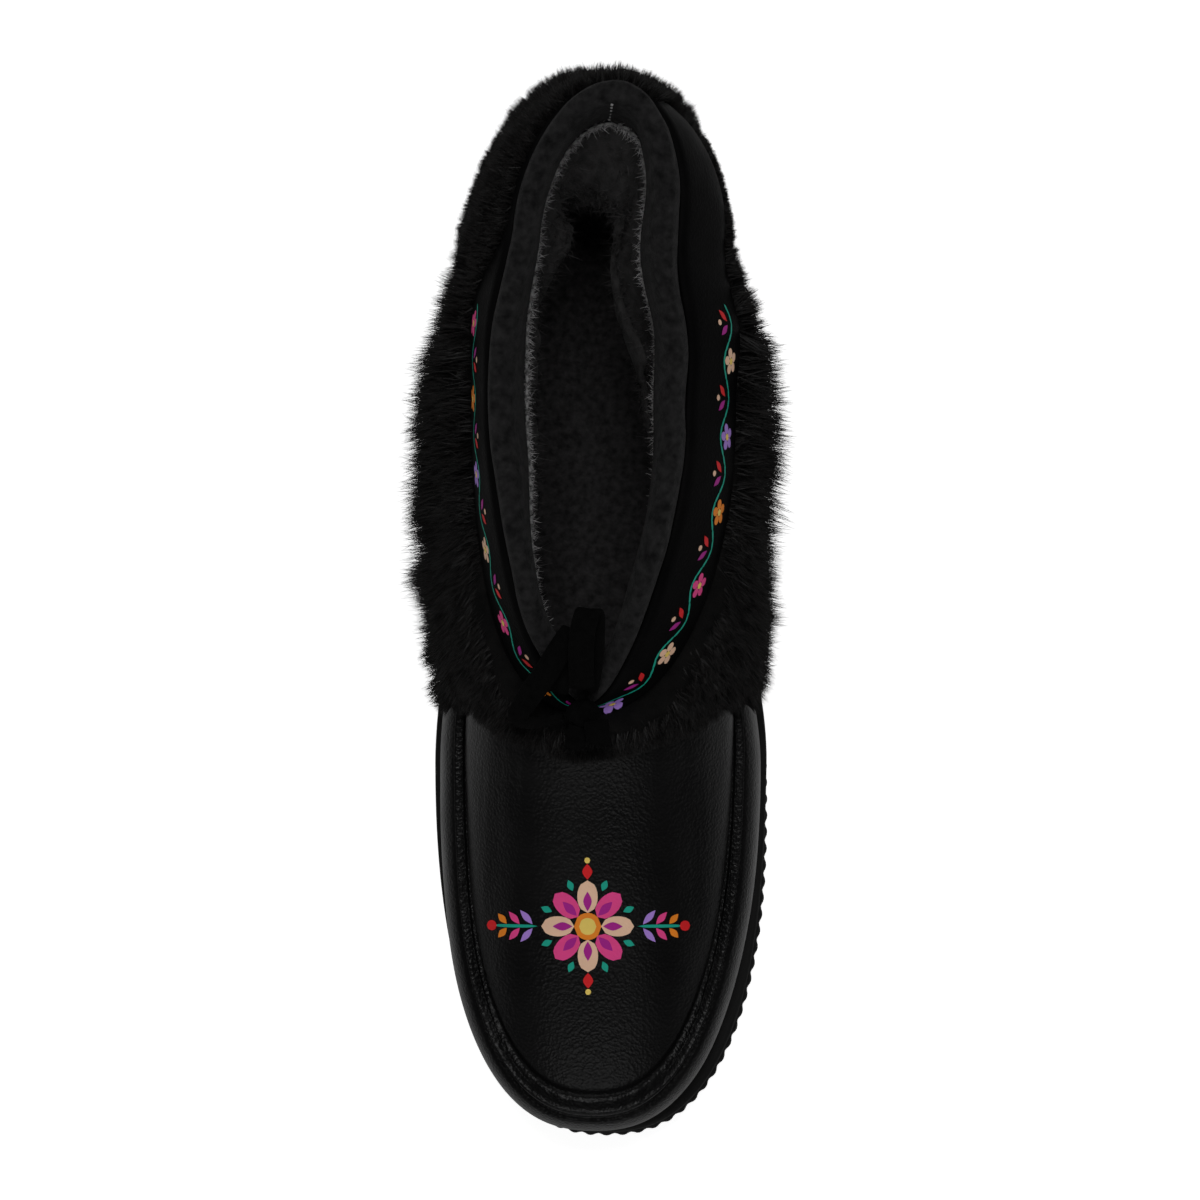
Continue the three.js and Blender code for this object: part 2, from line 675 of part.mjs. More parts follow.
const boot = new THREE.Group();
boot.add(meshOf("outsole", makeOutsole(), 0x101010, 0.85));
boot.add(meshOf("insole", makeInsole(), 0x0b0b0c, 1));
boot.add(meshOf("upper", makeUpper(), 0x0d0d0d, 0.5));
boot.add(meshOf("collar_band", makeCollarBand(), 0x0c0c0c, 0.55));
boot.add(meshOf("collar_facing", makeCollarFacing(), 0x161616, 0.95));
boot.add(meshOf("fur_cuff", makeFurCuff(), 0x0a0a0a, 1));
boot.add(meshOf("lace_knot", makeKnot(), 0x050505, 0.9));
boot.add(meshOf("lace_loop_up", thongSolid(LOOP_UP), 0x050505, 0.9));
boot.add(meshOf("lace_loop_side", thongSolid(LOOP_SIDE), 0x050505, 0.9));
boot.add(meshOf("lace_end_low", thongSolid(END_LOW), 0x050505, 0.9));
boot.add(meshOf("lace_end_high", thongSolid(END_HIGH), 0x050505, 0.9));

// The origin is on the floor under the middle of the boot.
const middle = new THREE.Box3().setFromObject(boot).getCenter(new THREE.Vector3());
boot.position.set(-middle.x, -middle.y, 0);

export default boot;
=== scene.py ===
"""A fur-cuffed moccasin boot for the right foot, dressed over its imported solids.

Shapes are worked out in millimetres from the foot's sizes and set down in metres.
"""

import logging
import math
from contextlib import contextmanager
from dataclasses import dataclass
from enum import Enum
from typing import Callable, Iterator

import bmesh
import bpy
import numpy as np
from mathutils import Matrix, Vector, noise
from mathutils.bvhtree import BVHTree


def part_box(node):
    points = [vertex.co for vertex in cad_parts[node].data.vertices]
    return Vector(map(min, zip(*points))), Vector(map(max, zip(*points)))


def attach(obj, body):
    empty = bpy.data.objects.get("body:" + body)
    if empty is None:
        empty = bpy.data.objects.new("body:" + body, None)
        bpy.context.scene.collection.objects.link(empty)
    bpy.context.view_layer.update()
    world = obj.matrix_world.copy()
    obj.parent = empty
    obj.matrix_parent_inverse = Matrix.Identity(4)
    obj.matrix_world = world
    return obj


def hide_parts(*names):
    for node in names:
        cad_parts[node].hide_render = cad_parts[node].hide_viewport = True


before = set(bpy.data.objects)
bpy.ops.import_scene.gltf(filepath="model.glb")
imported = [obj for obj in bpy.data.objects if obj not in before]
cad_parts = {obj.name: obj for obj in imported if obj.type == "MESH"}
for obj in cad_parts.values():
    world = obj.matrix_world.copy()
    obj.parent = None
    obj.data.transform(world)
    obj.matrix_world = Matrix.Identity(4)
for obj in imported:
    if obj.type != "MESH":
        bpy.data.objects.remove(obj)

log = logging.getLogger("boot")

BODY = "root"
MM = 0.001
FULL_TURN = 2 * math.pi
TURN_STEPS = 1441
GAP = 0.3
WALL = 2.2
DOWN = np.array([0, 0, -1.0])

Rows = tuple[tuple[float, float], ...]
Colour = tuple[float, float, float]
Point = tuple[float, float, float]


def smooth(t: np.ndarray) -> np.ndarray:
    """Eases a share from 0 to 1, level at both ends."""
    t = np.clip(t, 0.0, 1.0)
    return t * t * (3 - 2 * t)


def mix(a: np.ndarray, b: np.ndarray, t: np.ndarray) -> np.ndarray:
    """The value a share t of the way from a to b."""
    return a + (b - a) * t


def bump(t: np.ndarray) -> np.ndarray:
    """A soft hill that is 1 where t is 0."""
    return np.exp(-t * t)


def through(rows: Rows, at: np.ndarray) -> np.ndarray:
    """Smooth values through rows of (place, value), level at both ends.

    Args:
        rows: The places, rising, and their values.
        at: Where the values are wanted.

    Returns:
        One value for each place in at.
    """
    places, values = np.array(rows, float).T
    grades = np.diff(values) / np.diff(places)
    slopes = np.zeros(len(values))
    before, after = grades[:-1], grades[1:]
    same = before * after > 0
    slopes[1:-1][same] = (2 * before * after / np.where(same, before + after, 1))[same]
    at = np.clip(at, places[0], places[-1])
    i = np.clip(np.searchsorted(places, at, side="right") - 1, 0, len(grades) - 1)
    width = places[i + 1] - places[i]
    t = (at - places[i]) / width
    rise = t * t * (3 - 2 * t)
    start = t * (1 - t) ** 2 * width * slopes[i]
    end = t * t * (t - 1) * width * slopes[i + 1]
    return mix(values[i], values[i + 1], rise) + start + end


def unit(vectors: np.ndarray) -> np.ndarray:
    """Each vector at length 1."""
    return vectors / np.maximum(np.linalg.norm(vectors, axis=-1, keepdims=True), 1e-9)


def lengths_along(line: np.ndarray) -> np.ndarray:
    """The length of a line from its first point to each of its points."""
    return np.concatenate([[0], np.cumsum(np.linalg.norm(np.diff(line, axis=0), axis=1))])


def flowing(a: np.ndarray, b: np.ndarray, c: np.ndarray, d: np.ndarray, t: np.ndarray) -> np.ndarray:
    """Points a share t of the way from b to c, on a smooth line that comes from a and goes on to d."""
    return 0.5 * (
        2 * b + (c - a) * t + (2 * a - 5 * b + 4 * c - d) * t**2 + (3 * b - a - 3 * c + d) * t**3
    )


@dataclass(frozen=True)
class Outline:
    """A rounded outline seen from above, with its half widths on the foot's two sides."""

    back: float
    front: float
    outer: tuple[float, float, float]
    inner: tuple[float, float, float]
    stations: tuple[float, float, float]
    rounding: tuple[float, float]

    def half_width(self, turn: np.ndarray, at: np.ndarray, inset: np.ndarray) -> np.ndarray:
        """How far the outline stands from its middle line.

        Args:
            turn: The way round the foot, from the heel by the outer side.
            at: The share of the length from heel to toe.
            inset: How far the outline is drawn in.

        Returns:
            The half width at each place.
        """
        outer_side = np.sin(turn) > 0
        heel, waist, ball = (
            np.where(outer_side, self.outer[k], self.inner[k]) - inset for k in range(3)
        )
        heel_at, waist_at, ball_at = self.stations
        heel_round = np.clip((heel_at - at) / heel_at, 0, 1)
        toe_round = np.clip((at - ball_at) / (1 - ball_at), 0, 1)
        width = mix(heel, waist, smooth((at - heel_at) / (waist_at - heel_at)))
        ahead = mix(waist, ball, smooth((at - waist_at) / (ball_at - waist_at)))
        width = np.where(at > waist_at, ahead, width)
        back, front = self.rounding
        width = width * np.maximum(0, 1 - heel_round**back) ** (1 / back)
        return width * np.maximum(0, 1 - toe_round**front) ** (1 / front)

    def point(
        self, turn: np.ndarray, inset: np.ndarray = 0.0, toe_shift: float = 0.0, heel_shift: float = 0.0
    ) -> np.ndarray:
        """Points of the outline.

        Args:
            turn: The way round the foot.
            inset: How far the outline is drawn in.
            toe_shift: How far the toe leans to the inner side.
            heel_shift: How far the heel end leans there.

        Returns:
            An array of x and y.
        """
        at = (1 - np.cos(turn)) / 2
        side = np.where(np.sin(turn) > 0, -1.0, 1.0)
        lean = toe_shift * smooth((at - 0.62) / 0.38) + heel_shift * smooth((0.35 - at) / 0.35)
        x = side * self.half_width(turn, at, inset) + lean
        return np.stack([x, mix(self.back - inset, self.front + inset, at)], axis=-1)


@dataclass(frozen=True)
class Ring:
    """One ring of the upper: its share of each outline, its insets and its heights."""

    ankle: float
    collar: float
    inset: tuple[float, float]
    rise: tuple[float, float, float, float]


@dataclass(frozen=True)
class Last:
    """The boot's outer face and its sole's heights, worked out from the foot's sizes."""

    sole_length: float = 267.0
    sole_back: float = 127.0
    ball_width: float = 87.0
    heel_width: float = 65.0
    waist: tuple[float, float] = (35.5, 31.5)
    ankle_half: tuple[float, float] = (29.5, 34.0)
    collar_half: tuple[float, float] = (24.0, 20.3)
    upper_height: float = 99.0
    sole_at_heel: float = 17.0
    sole_at_ball: float = 11.0
    toe_spring: float = 6.0
    heel_bevel: float = 2.0
    arch_rise: float = 2.5
    sole_shift: float = 1.3
    upper_shift: float = -1.6
    throat_shift: float = -2.4
    counter_shift: float = 5.0
    seam_level: int = 3
    rise_at: tuple[float, ...] = (0.0, 1.266, 1.982, math.pi)
    rings: tuple[Ring, ...] = (
        Ring(0, 0, (0.052, 0.052), (0, 0, 0, 0)),
        Ring(0, 0, (0.028, 0.027), (0.14, 0.13, 0.135, 0.1)),
        Ring(0, 0, (0.03, 0.045), (0.285, 0.26, 0.24, 0.185)),
        Ring(0, 0, (0.037, 0.098), (0.4, 0.36, 0.3, 0.228)),
        Ring(0.2, 0, (0.041, 0.1), (0.475, 0.425, 0.38, 0.315)),
        Ring(0.5, 0, (0.041, 0.1), (0.545, 0.49, 0.47, 0.415)),
        Ring(0.8, 0, (0.041, 0.1), (0.625, 0.575, 0.58, 0.51)),
        Ring(1, 0, (0, 0), (0.715, 0.69, 0.69, 0.61)),
        Ring(0, 1, (0, 0), (1, 0.97, 0.975, 0.685)),
    )

    @property
    def foot(self) -> Outline:
        """The sole's outline."""
        heel, ball = self.heel_width / 2, self.ball_width / 2
        outer, inner = ((heel, half, ball) for half in self.waist)
        front = self.sole_back - self.sole_length
        return Outline(self.sole_back, front, outer, inner, (0.15, 0.36, 0.64), (2.1, 2.42))

    @property
    def ankle(self) -> Outline:
        """The outline where the fur ends and the collar's band begins."""
        outer, inner = self.ankle_half
        return Outline(
            126.0, -27.5, (outer * 0.92, outer, outer), (inner * 0.87, inner, inner * 0.97),
            (0.24, 0.4, 0.5), (2.0, 2.2),
        )

    @property
    def collar(self) -> Outline:
        """The outline of the collar's edge."""
        outer, inner = self.collar_half
        return Outline(
            126.4, -26.0, (outer * 0.79, outer, outer), (inner * 0.81, inner, inner * 0.96),
            (0.22, 0.45, 0.55), (2.0, 1.52),
        )

    def station(self, turn: np.ndarray) -> np.ndarray:
        """The share of the length from heel to toe."""
        return (1 - np.cos(turn)) / 2

    def sole_top(self, at: np.ndarray) -> np.ndarray:
        """Height of the sole's upper face."""
        ball = self.sole_at_ball
        rows = (
            (0, self.sole_at_heel), (0.22, self.sole_at_heel), (0.55, ball), (0.74, ball),
            (0.88, ball + self.toe_spring * 0.3), (1, ball + self.toe_spring),
        )
        return through(rows, at)

    def sole_bottom(self, at: np.ndarray) -> np.ndarray:
        """Height of the sole's lower face."""
        rows = (
            (0, self.heel_bevel), (0.05, 0), (0.3, 0), (0.4, self.arch_rise), (0.5, 0),
            (0.76, 0), (0.88, self.toe_spring * 0.3), (1, self.toe_spring),
        )
        return through(rows, at)

    def station_of_y(self, y: np.ndarray) -> np.ndarray:
        """The share of the sole's length at a place along it."""
        return np.clip((self.sole_back - y) / self.sole_length, 0, 1)

    def ring_point(self, ring: Ring, turn: np.ndarray) -> np.ndarray:
        """Points of one ring.

        Args:
            ring: The ring.
            turn: The way round the foot.

        Returns:
            An array of points.
        """
        at = self.station(turn)
        inset = self.ball_width * mix(ring.inset[0], ring.inset[1], smooth((at - 0.25) / 0.35))
        wrapped = np.mod(turn, FULL_TURN)
        fold = np.where(wrapped <= math.pi, wrapped, FULL_TURN - wrapped)
        plan = self.foot.point(turn, inset, self.upper_shift) * (1 - ring.ankle - ring.collar)
        plan = plan + self.ankle.point(turn, 0.0, self.throat_shift, self.counter_shift * 0.6) * ring.ankle
        plan = plan + self.collar.point(turn, 0.0, self.throat_shift, self.counter_shift) * ring.collar
        rise = through(tuple(zip(self.rise_at, ring.rise)), fold)
        z = self.sole_top(at) + GAP + rise * self.upper_height
        return np.concatenate([plan, z[..., None]], axis=-1)

    def face(self, turn: np.ndarray, level: np.ndarray) -> np.ndarray:
        """Points of the outer face, without its seam.

        Args:
            turn: The way round the foot, from the heel by the outer side.
            level: The ring, or a place between two rings.

        Returns:
            An array of points.
        """
        turn, level = np.broadcast_arrays(np.asarray(turn, float), np.asarray(level, float))
        rings = np.stack([self.ring_point(ring, turn) for ring in self.rings])
        last = len(self.rings) - 1
        i = np.clip(np.floor(level).astype(int), 0, last - 1)
        t = (level - i)[..., None]
        spots = np.indices(turn.shape)
        a, b, c, d = (rings[(np.clip(i + k, 0, last), *spots)] for k in (-1, 0, 1, 2))
        return flowing(a, b, c, d, t)

    def tangents(self, turn: np.ndarray, level: np.ndarray) -> tuple[np.ndarray, np.ndarray]:
        """The directions round and up the face."""
        step = 0.02
        around = self.face(turn + step, level) - self.face(turn - step, level)
        up = self.face(turn, level + step) - self.face(turn, level - step)
        return unit(around), unit(up)

    def normal(self, turn: np.ndarray, level: np.ndarray) -> np.ndarray:
        """The direction out of the face."""
        around, up = self.tangents(turn, level)
        return unit(np.cross(around, up))

    def off(self, turn: np.ndarray, level: np.ndarray, out: np.ndarray) -> np.ndarray:
        """Points that stand out from the face, inwards where out is negative."""
        turn, level, out = np.broadcast_arrays(turn, level, out)
        return self.face(turn, level) + self.normal(turn, level) * out[..., None]


LAST = Last()


class Level:
    """Rings at which the upper's pieces begin and end."""

    FUR_TOP = 6.88
    BAND_LOW = 6.95
    BAND_MIDDLE = 7.35
    BAND_HIGH = 7.74
    BINDING_LOW = 7.78
    EDGE = 7.93


def frame_shift() -> Vector:
    """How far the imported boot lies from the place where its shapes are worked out, in millimetres."""
    low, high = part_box("insole")
    foot = LAST.foot
    return Vector(((low.x + high.x) / 2 / MM, (low.y + high.y) / 2 / MM - (foot.back + foot.front) / 2, 0))


SHIFT = np.array(frame_shift())


def to_frame(points: np.ndarray) -> np.ndarray:
    """Turns millimetres of the shapes into metres of the row's frame."""
    return (np.asarray(points, float) + SHIFT) * MM


def to_shape(point: Vector) -> np.ndarray:
    """Turns a point of the row's frame back into millimetres of the shapes."""
    return np.array(point) / MM - SHIFT


def paced(level: np.ndarray | float, out: float) -> tuple[np.ndarray, np.ndarray]:
    """Measures the way round the upper.

    Args:
        level: The level of the line that is measured, one value or one for each of TURN_STEPS turns.
        out: How far the line stands off the face.

    Returns:
        Lengths from the heel and the turns that they belong to.
    """
    turns = np.linspace(0, FULL_TURN, TURN_STEPS)
    return lengths_along(LAST.off(turns, np.broadcast_to(level, turns.shape), out)), turns


def levels_per_mm(turn: np.ndarray, level: np.ndarray) -> np.ndarray:
    """How many levels one millimetre up the face is worth."""
    reach = LAST.face(turn, level + 0.1) - LAST.face(turn, level - 0.1)
    return 0.2 / np.linalg.norm(reach, axis=-1)


def object_of(name: str, bm: bmesh.types.BMesh, smooth_faces: bool = True) -> bpy.types.Object:
    """Makes an object from a bmesh and frees the bmesh.

    Args:
        name: The object's name.
        bm: The mesh, in metres.
        smooth_faces: Whether its faces are shaded smooth.

    Returns:
        The object, linked to the scene.
    """
    mesh = bpy.data.meshes.new(name)
    bm.to_mesh(mesh)
    bm.free()
    if smooth_faces:
        mesh.shade_smooth()
    made = bpy.data.objects.new(name, mesh)
    bpy.context.scene.collection.objects.link(made)
    return made


@contextmanager
def reworked(piece: bpy.types.Object) -> Iterator[bmesh.types.BMesh]:
    """Opens a piece's mesh for bmesh operators, then puts it back and shades it smooth."""
    bm = bmesh.new()
    bm.from_mesh(piece.data)
    yield bm
    bm.to_mesh(piece.data)
    bm.free()
    piece.data.shade_smooth()


def turn_faces(piece: bpy.types.Object, up: bool) -> None:
    """Turns a sheet's faces round where they don't look up, or down where up is false."""
    with reworked(piece) as bm:
        if (sum(face.normal.z for face in bm.faces) < 0) == up:
            bmesh.ops.reverse_faces(bm, faces=bm.faces)


def woven(
    name: str, columns: int, rows: int, place: Callable[[np.ndarray, np.ndarray], np.ndarray]
) -> bpy.types.Object:
    """A grid whose corners are put in place by a function, with its meeting edges merged.

    Args:
        name: The object's name.
        columns: Steps along the first direction.
        rows: Steps along the second direction.
        place: Gives points in millimetres for the two shares, each from 0 to 1.

    Returns:
        The object.
    """
    bm = bmesh.new()
    bmesh.ops.create_grid(bm, x_segments=columns, y_segments=rows, size=1)
    flat = np.array([vert.co[:2] for vert in bm.verts])
    shares = (flat + 1) / 2
    for vert, point in zip(bm.verts, to_frame(place(shares[:, 0], shares[:, 1]))):
        vert.co = point
    bmesh.ops.remove_doubles(bm, verts=bm.verts, dist=0.00002)
    return object_of(name, bm)


def thicken(piece: bpy.types.Object, thickness: float) -> bpy.types.Object:
    """Gives a sheet its thickness behind its face, in millimetres."""
    solid = piece.modifiers.new("thickness", "SOLIDIFY")
    solid.thickness = thickness * MM
    solid.offset = -1
    return piece


def soften(piece: bpy.types.Object, levels: int = 1) -> bpy.types.Object:
    """Rounds a piece by subdividing it."""
    rounding = piece.modifiers.new("rounding", "SUBSURF")
    rounding.levels = rounding.render_levels = levels
    return piece


def rough(points: np.ndarray, size: float) -> np.ndarray:
    """Smooth noise from about -1 to 1 at each point.

    Args:
        points: Places in millimetres.
        size: The size of its hills in millimetres.

    Returns:
        One value for each point.
    """
    return np.array([noise.noise(Vector(point)) for point in np.asarray(points) / size])


def dress(
    piece: bpy.types.Object, material: bpy.types.Material, slot: str, *nodes: str
) -> bpy.types.Object:
    """Gives a piece its finish, ties it to the body and hides what it stands for.

    Args:
        piece: The piece.
        material: Its finish.
        slot: The record's material slot; not used.
        nodes: The solids that it replaces.

    Returns:
        The piece.
    """
    piece.data.materials.append(material)
    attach(piece, BODY)
    if nodes:
        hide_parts(*nodes)
    return piece


def across_strands(aim: np.ndarray, chance: np.random.Generator) -> np.ndarray:
    """A direction across each strand, at a random turn."""
    return unit(np.cross(aim, chance.normal(0, 1, aim.shape)))


def strands(
    name: str, spine: list[np.ndarray], side: np.ndarray, tone: np.ndarray, taper: tuple[float, ...]
) -> bpy.types.Object:
    """Builds many flat, tapered strands as one mesh.

    Args:
        name: The object's name.
        spine: The strands' points from root to tip, one array for each step.
        side: Half of each strand's width, as a vector.
        tone: Each strand's tone from 0 to 1.
        taper: The share of the width at each step but the last.

    Returns:
        The object.
    """
    count, steps = len(side), len(spine) - 1
    pairs = [
        point + side * share * sign
        for point, share in zip(spine[:-1], taper)
        for sign in (-1, 1)
    ]
    points = np.stack([*pairs, spine[-1]], axis=1)
    each = points.shape[1]
    start = np.arange(count)[:, None] * each
    loops = []
    for k in range(steps - 1):
        loops.append(start + np.array([2 * k, 2 * k + 1, 2 * k + 3, 2 * k + 2]))
    loops.append(start + np.array([each - 3, each - 2, each - 1]))
    corners = np.concatenate(loops, axis=1).ravel()
    sizes = np.tile([4] * (steps - 1) + [3], count)
    mesh = bpy.data.meshes.new(name)
    mesh.vertices.add(count * each)
    mesh.vertices.foreach_set("co", to_frame(points.reshape(-1, 3)).ravel())
    mesh.loops.add(len(corners))
    mesh.loops.foreach_set("vertex_index", corners)
    mesh.polygons.add(len(sizes))
    mesh.polygons.foreach_set("loop_start", np.concatenate([[0], np.cumsum(sizes)[:-1]]))
    shade = mesh.attributes.new("tone", "FLOAT", "POINT")
    climb = np.linspace(0, 1, steps + 1)
    climb = np.concatenate([np.repeat(climb[:-1], 2), climb[-1:]])
    tones = np.clip(tone[:, None] * (0.35 + 0.65 * climb[None, :]), 0, 1)
    shade.data.foreach_set("value", tones.ravel())
    mesh.update(calc_edges=True)
    made = bpy.data.objects.new(name, mesh)
    bpy.context.scene.collection.objects.link(made)
    return made


# Shader groups that several finishes share


def new_group(name: str, inputs: dict[str, float], outputs: tuple[str, ...]) -> bpy.types.NodeTree:
    """Starts a shader group with a vector input and some number inputs.

    Args:
        name: The group's name.
        inputs: Number inputs and their defaults.
        outputs: Number outputs.

    Returns:
        The group's node tree.
    """
    group = bpy.data.node_groups.new(name, "ShaderNodeTree")
    group.interface.new_socket("Vector", in_out="INPUT", socket_type="NodeSocketVector")
    for label, value in inputs.items():
        socket = group.interface.new_socket(label, in_out="INPUT", socket_type="NodeSocketFloat")
        socket.default_value = value
    for label in outputs:
        group.interface.new_socket(label, in_out="OUTPUT", socket_type="NodeSocketFloat")
    return group


def add_node(
    nodes: bpy.types.Nodes, kind: str, values: dict[str | int, object] | None = None, **settings: object
) -> bpy.types.Node:
    """Adds a shader node.

    Args:
        nodes: The nodes that it joins.
        kind: Its type.
        values: What its inputs hold, by their names or places.
        settings: Its other properties, which are set first.

    Returns:
        The node.
    """
    made = nodes.new(kind)
    for name, setting in settings.items():
        setattr(made, name, setting)
    for label, value in (values or {}).items():
        made.inputs[label].default_value = value
    return made


def grain_group() -> bpy.types.NodeTree:
    """Pebbled leather grain: small cells, finer pores and a slow change of tone."""
    found = bpy.data.node_groups.get("leather_grain")
    if found:
        return found
    group = new_group("leather_grain", {"Cells": 900.0, "Patches": 45.0}, ("Height", "Tone"))
    nodes, link = group.nodes, group.links.new
    source, sink = nodes.new("NodeGroupInput"), nodes.new("NodeGroupOutput")
    bend = add_node(nodes, "ShaderNodeTexNoise", {"Scale": 260})
    stretch = {1: (0.0016, 0.0016, 0.0016)}
    spread = add_node(nodes, "ShaderNodeVectorMath", stretch, operation="MULTIPLY_ADD")
    cells = add_node(nodes, "ShaderNodeTexVoronoi", {"Smoothness": 0.4}, feature="SMOOTH_F1")
    pores = add_node(nodes, "ShaderNodeTexNoise", {"Detail": 4})
    patches = add_node(nodes, "ShaderNodeTexNoise", {"Detail": 3})
    finer = add_node(nodes, "ShaderNodeMath", {1: 2.6}, operation="MULTIPLY")
    height = add_node(nodes, "ShaderNodeMath", {1: 0.45}, operation="MULTIPLY_ADD")
    for texture in (bend, pores, patches):
        link(source.outputs["Vector"], texture.inputs["Vector"])
    link(bend.outputs["Color"], spread.inputs[0])
    link(source.outputs["Vector"], spread.inputs[2])
    link(spread.outputs["Vector"], cells.inputs["Vector"])
    link(source.outputs["Cells"], cells.inputs["Scale"])
    link(source.outputs["Cells"], finer.inputs[0])
    link(finer.outputs[0], pores.inputs["Scale"])
    link(source.outputs["Patches"], patches.inputs["Scale"])
    link(pores.outputs["Fac"], height.inputs[0])
    link(cells.outputs["Distance"], height.inputs[2])
    link(height.outputs[0], sink.inputs["Height"])
    link(patches.outputs["Fac"], sink.inputs["Tone"])
    return group


def nap_group() -> bpy.types.NodeTree:
    """Short raised fibres: fine speckle over softer tufts."""
    found = bpy.data.node_groups.get("fibre_nap")
    if found:
        return found
    group = new_group("fibre_nap", {"Fibres": 2600.0, "Tufts": 260.0}, ("Height", "Tone"))
    nodes, link = group.nodes, group.links.new
    source, sink = nodes.new("NodeGroupInput"), nodes.new("NodeGroupOutput")
    fibres = add_node(nodes, "ShaderNodeTexNoise", {"Detail": 6, "Roughness": 0.7})
    tufts = add_node(nodes, "ShaderNodeTexNoise", {"Detail": 3})
    both = add_node(nodes, "ShaderNodeMath", {1: 0.6}, operation="MULTIPLY_ADD")
    for texture, rate in ((fibres, "Fibres"), (tufts, "Tufts")):
        link(source.outputs["Vector"], texture.inputs["Vector"])
        link(source.outputs[rate], texture.inputs["Scale"])
    link(fibres.outputs["Fac"], both.inputs[0])
    link(tufts.outputs["Fac"], both.inputs[2])
    link(both.outputs[0], sink.inputs["Height"])
    link(tufts.outputs["Fac"], sink.inputs["Tone"])
    return group


def new_material(name: str) -> tuple[bpy.types.Material, bpy.types.Node]:
    """Starts a material and hands it out with its main shader."""
    made = bpy.data.materials.new(name)
    made.use_nodes = True
    return made, made.node_tree.nodes["Principled BSDF"]


@dataclass(frozen=True)
class Finish:
    """A finish that reads a shared surface group for its colour, gloss and relief."""

    name: str
    dark: Colour
    light: Colour
    gloss: tuple[float, float]
    relief: float
    rates: tuple[tuple[str, float], ...]
    specular: float = 0.5
    sheen: float = 0.0
    group: Callable[[], bpy.types.NodeTree] = grain_group

    def material(self) -> bpy.types.Material:
        """Builds the material once and hands it out after that.

        Returns:
            The material.
        """
        found = bpy.data.materials.get(self.name)
        if found:
            return found
        made, skin = new_material(self.name)
        nodes, link = made.node_tree.nodes, made.node_tree.links.new
        skin.inputs["Specular IOR Level"].default_value = self.specular
        skin.inputs["Sheen Weight"].default_value = self.sheen
        skin.inputs["Sheen Roughness"].default_value = 0.5
        read = {"From Min": 0.3, "From Max": 0.7}
        low, high = self.gloss
        place = add_node(nodes, "ShaderNodeTexCoord")
        surface = add_node(nodes, "ShaderNodeGroup", dict(self.rates), node_tree=self.group())
        colours = {"A": (*self.dark, 1), "B": (*self.light, 1)}
        tint = add_node(nodes, "ShaderNodeMix", colours, data_type="RGBA")
        tone = add_node(nodes, "ShaderNodeMapRange", read)
        gloss = add_node(nodes, "ShaderNodeMapRange", {**read, "To Min": low, "To Max": high})
        relief = add_node(nodes, "ShaderNodeBump", {"Strength": 1.0, "Distance": self.relief * MM})
        link(place.outputs["Object"], surface.inputs["Vector"])
        link(surface.outputs["Tone"], tone.inputs["Value"])
        link(tone.outputs["Result"], tint.inputs["Factor"])
        link(tint.outputs["Result"], skin.inputs["Base Color"])
        link(surface.outputs["Tone"], gloss.inputs["Value"])
        link(gloss.outputs["Result"], skin.inputs["Roughness"])
        link(surface.outputs["Height"], relief.inputs["Height"])
        link(relief.outputs["Normal"], skin.inputs["Normal"])
        return made


@dataclass(frozen=True)
class HairFinish:
    """Hair that takes its tone from the strand that it is on."""

    name: str
    root: Colour
    tip: Colour
    roughness: float
    specular: float = 0.5

    def material(self) -> bpy.types.Material:
        """Builds the material once and hands it out after that."""
        found = bpy.data.materials.get(self.name)
        if found:
            return found
        made, skin = new_material(self.name)
        nodes, link = made.node_tree.nodes, made.node_tree.links.new
        skin.inputs["Roughness"].default_value = self.roughness
        skin.inputs["Specular IOR Level"].default_value = self.specular
        strand = add_node(nodes, "ShaderNodeAttribute", attribute_name="tone")
        colours = {"A": (*self.root, 1), "B": (*self.tip, 1)}
        tint = add_node(nodes, "ShaderNodeMix", colours, data_type="RGBA")
        link(strand.outputs["Fac"], tint.inputs["Factor"])
        link(tint.outputs["Result"], skin.inputs["Base Color"])
        return made


LEATHER = Finish(
    "black_leather", (0.0026, 0.0026, 0.0028), (0.0046, 0.0045, 0.0046), (0.28, 0.36), 0.13,
    (("Cells", 1250.0), ("Patches", 60.0)), specular=0.13,
)
BAND_LEATHER = Finish(
    "band_leather", (0.0025, 0.0025, 0.0027), (0.0042, 0.0041, 0.0042), (0.42, 0.54), 0.08,
    (("Cells", 1300.0), ("Patches", 90.0)), specular=0.012,
)
RUBBER = Finish(
    "sole_rubber", (0.005, 0.005, 0.005), (0.009, 0.009, 0.009), (0.6, 0.75), 0.05,
    (("Cells", 2400.0), ("Patches", 120.0)), specular=0.2,
)
NAPPED = Finish(
    "napped_facing", (0.005, 0.005, 0.0052), (0.024, 0.0235, 0.024), (0.85, 1.0), 0.5,
    (("Fibres", 1700.0), ("Tufts", 420.0)), specular=0.05, sheen=0.04, group=nap_group,
)
PLUSH = Finish(
    "plush_lining", (0.0135, 0.0132, 0.0132), (0.036, 0.035, 0.0352), (0.9, 1.0), 0.7,
    (("Fibres", 1500.0), ("Tufts", 320.0)), specular=0.05, sheen=0.05, group=nap_group,
)
FOOT_PLUSH = Finish(
    "plush_footbed", (0.011, 0.0107, 0.0109), (0.034, 0.0327, 0.0333), (0.9, 1.0), 0.7,
    (("Fibres", 1500.0), ("Tufts", 520.0)), specular=0.05, sheen=0.05, group=nap_group,
)
THONG = Finish(
    "matte_thong", (0.0012, 0.0012, 0.0012), (0.003, 0.003, 0.003), (0.9, 1.0), 0.16,
    (("Fibres", 2600.0), ("Tufts", 500.0)), specular=0.05, group=nap_group,
)
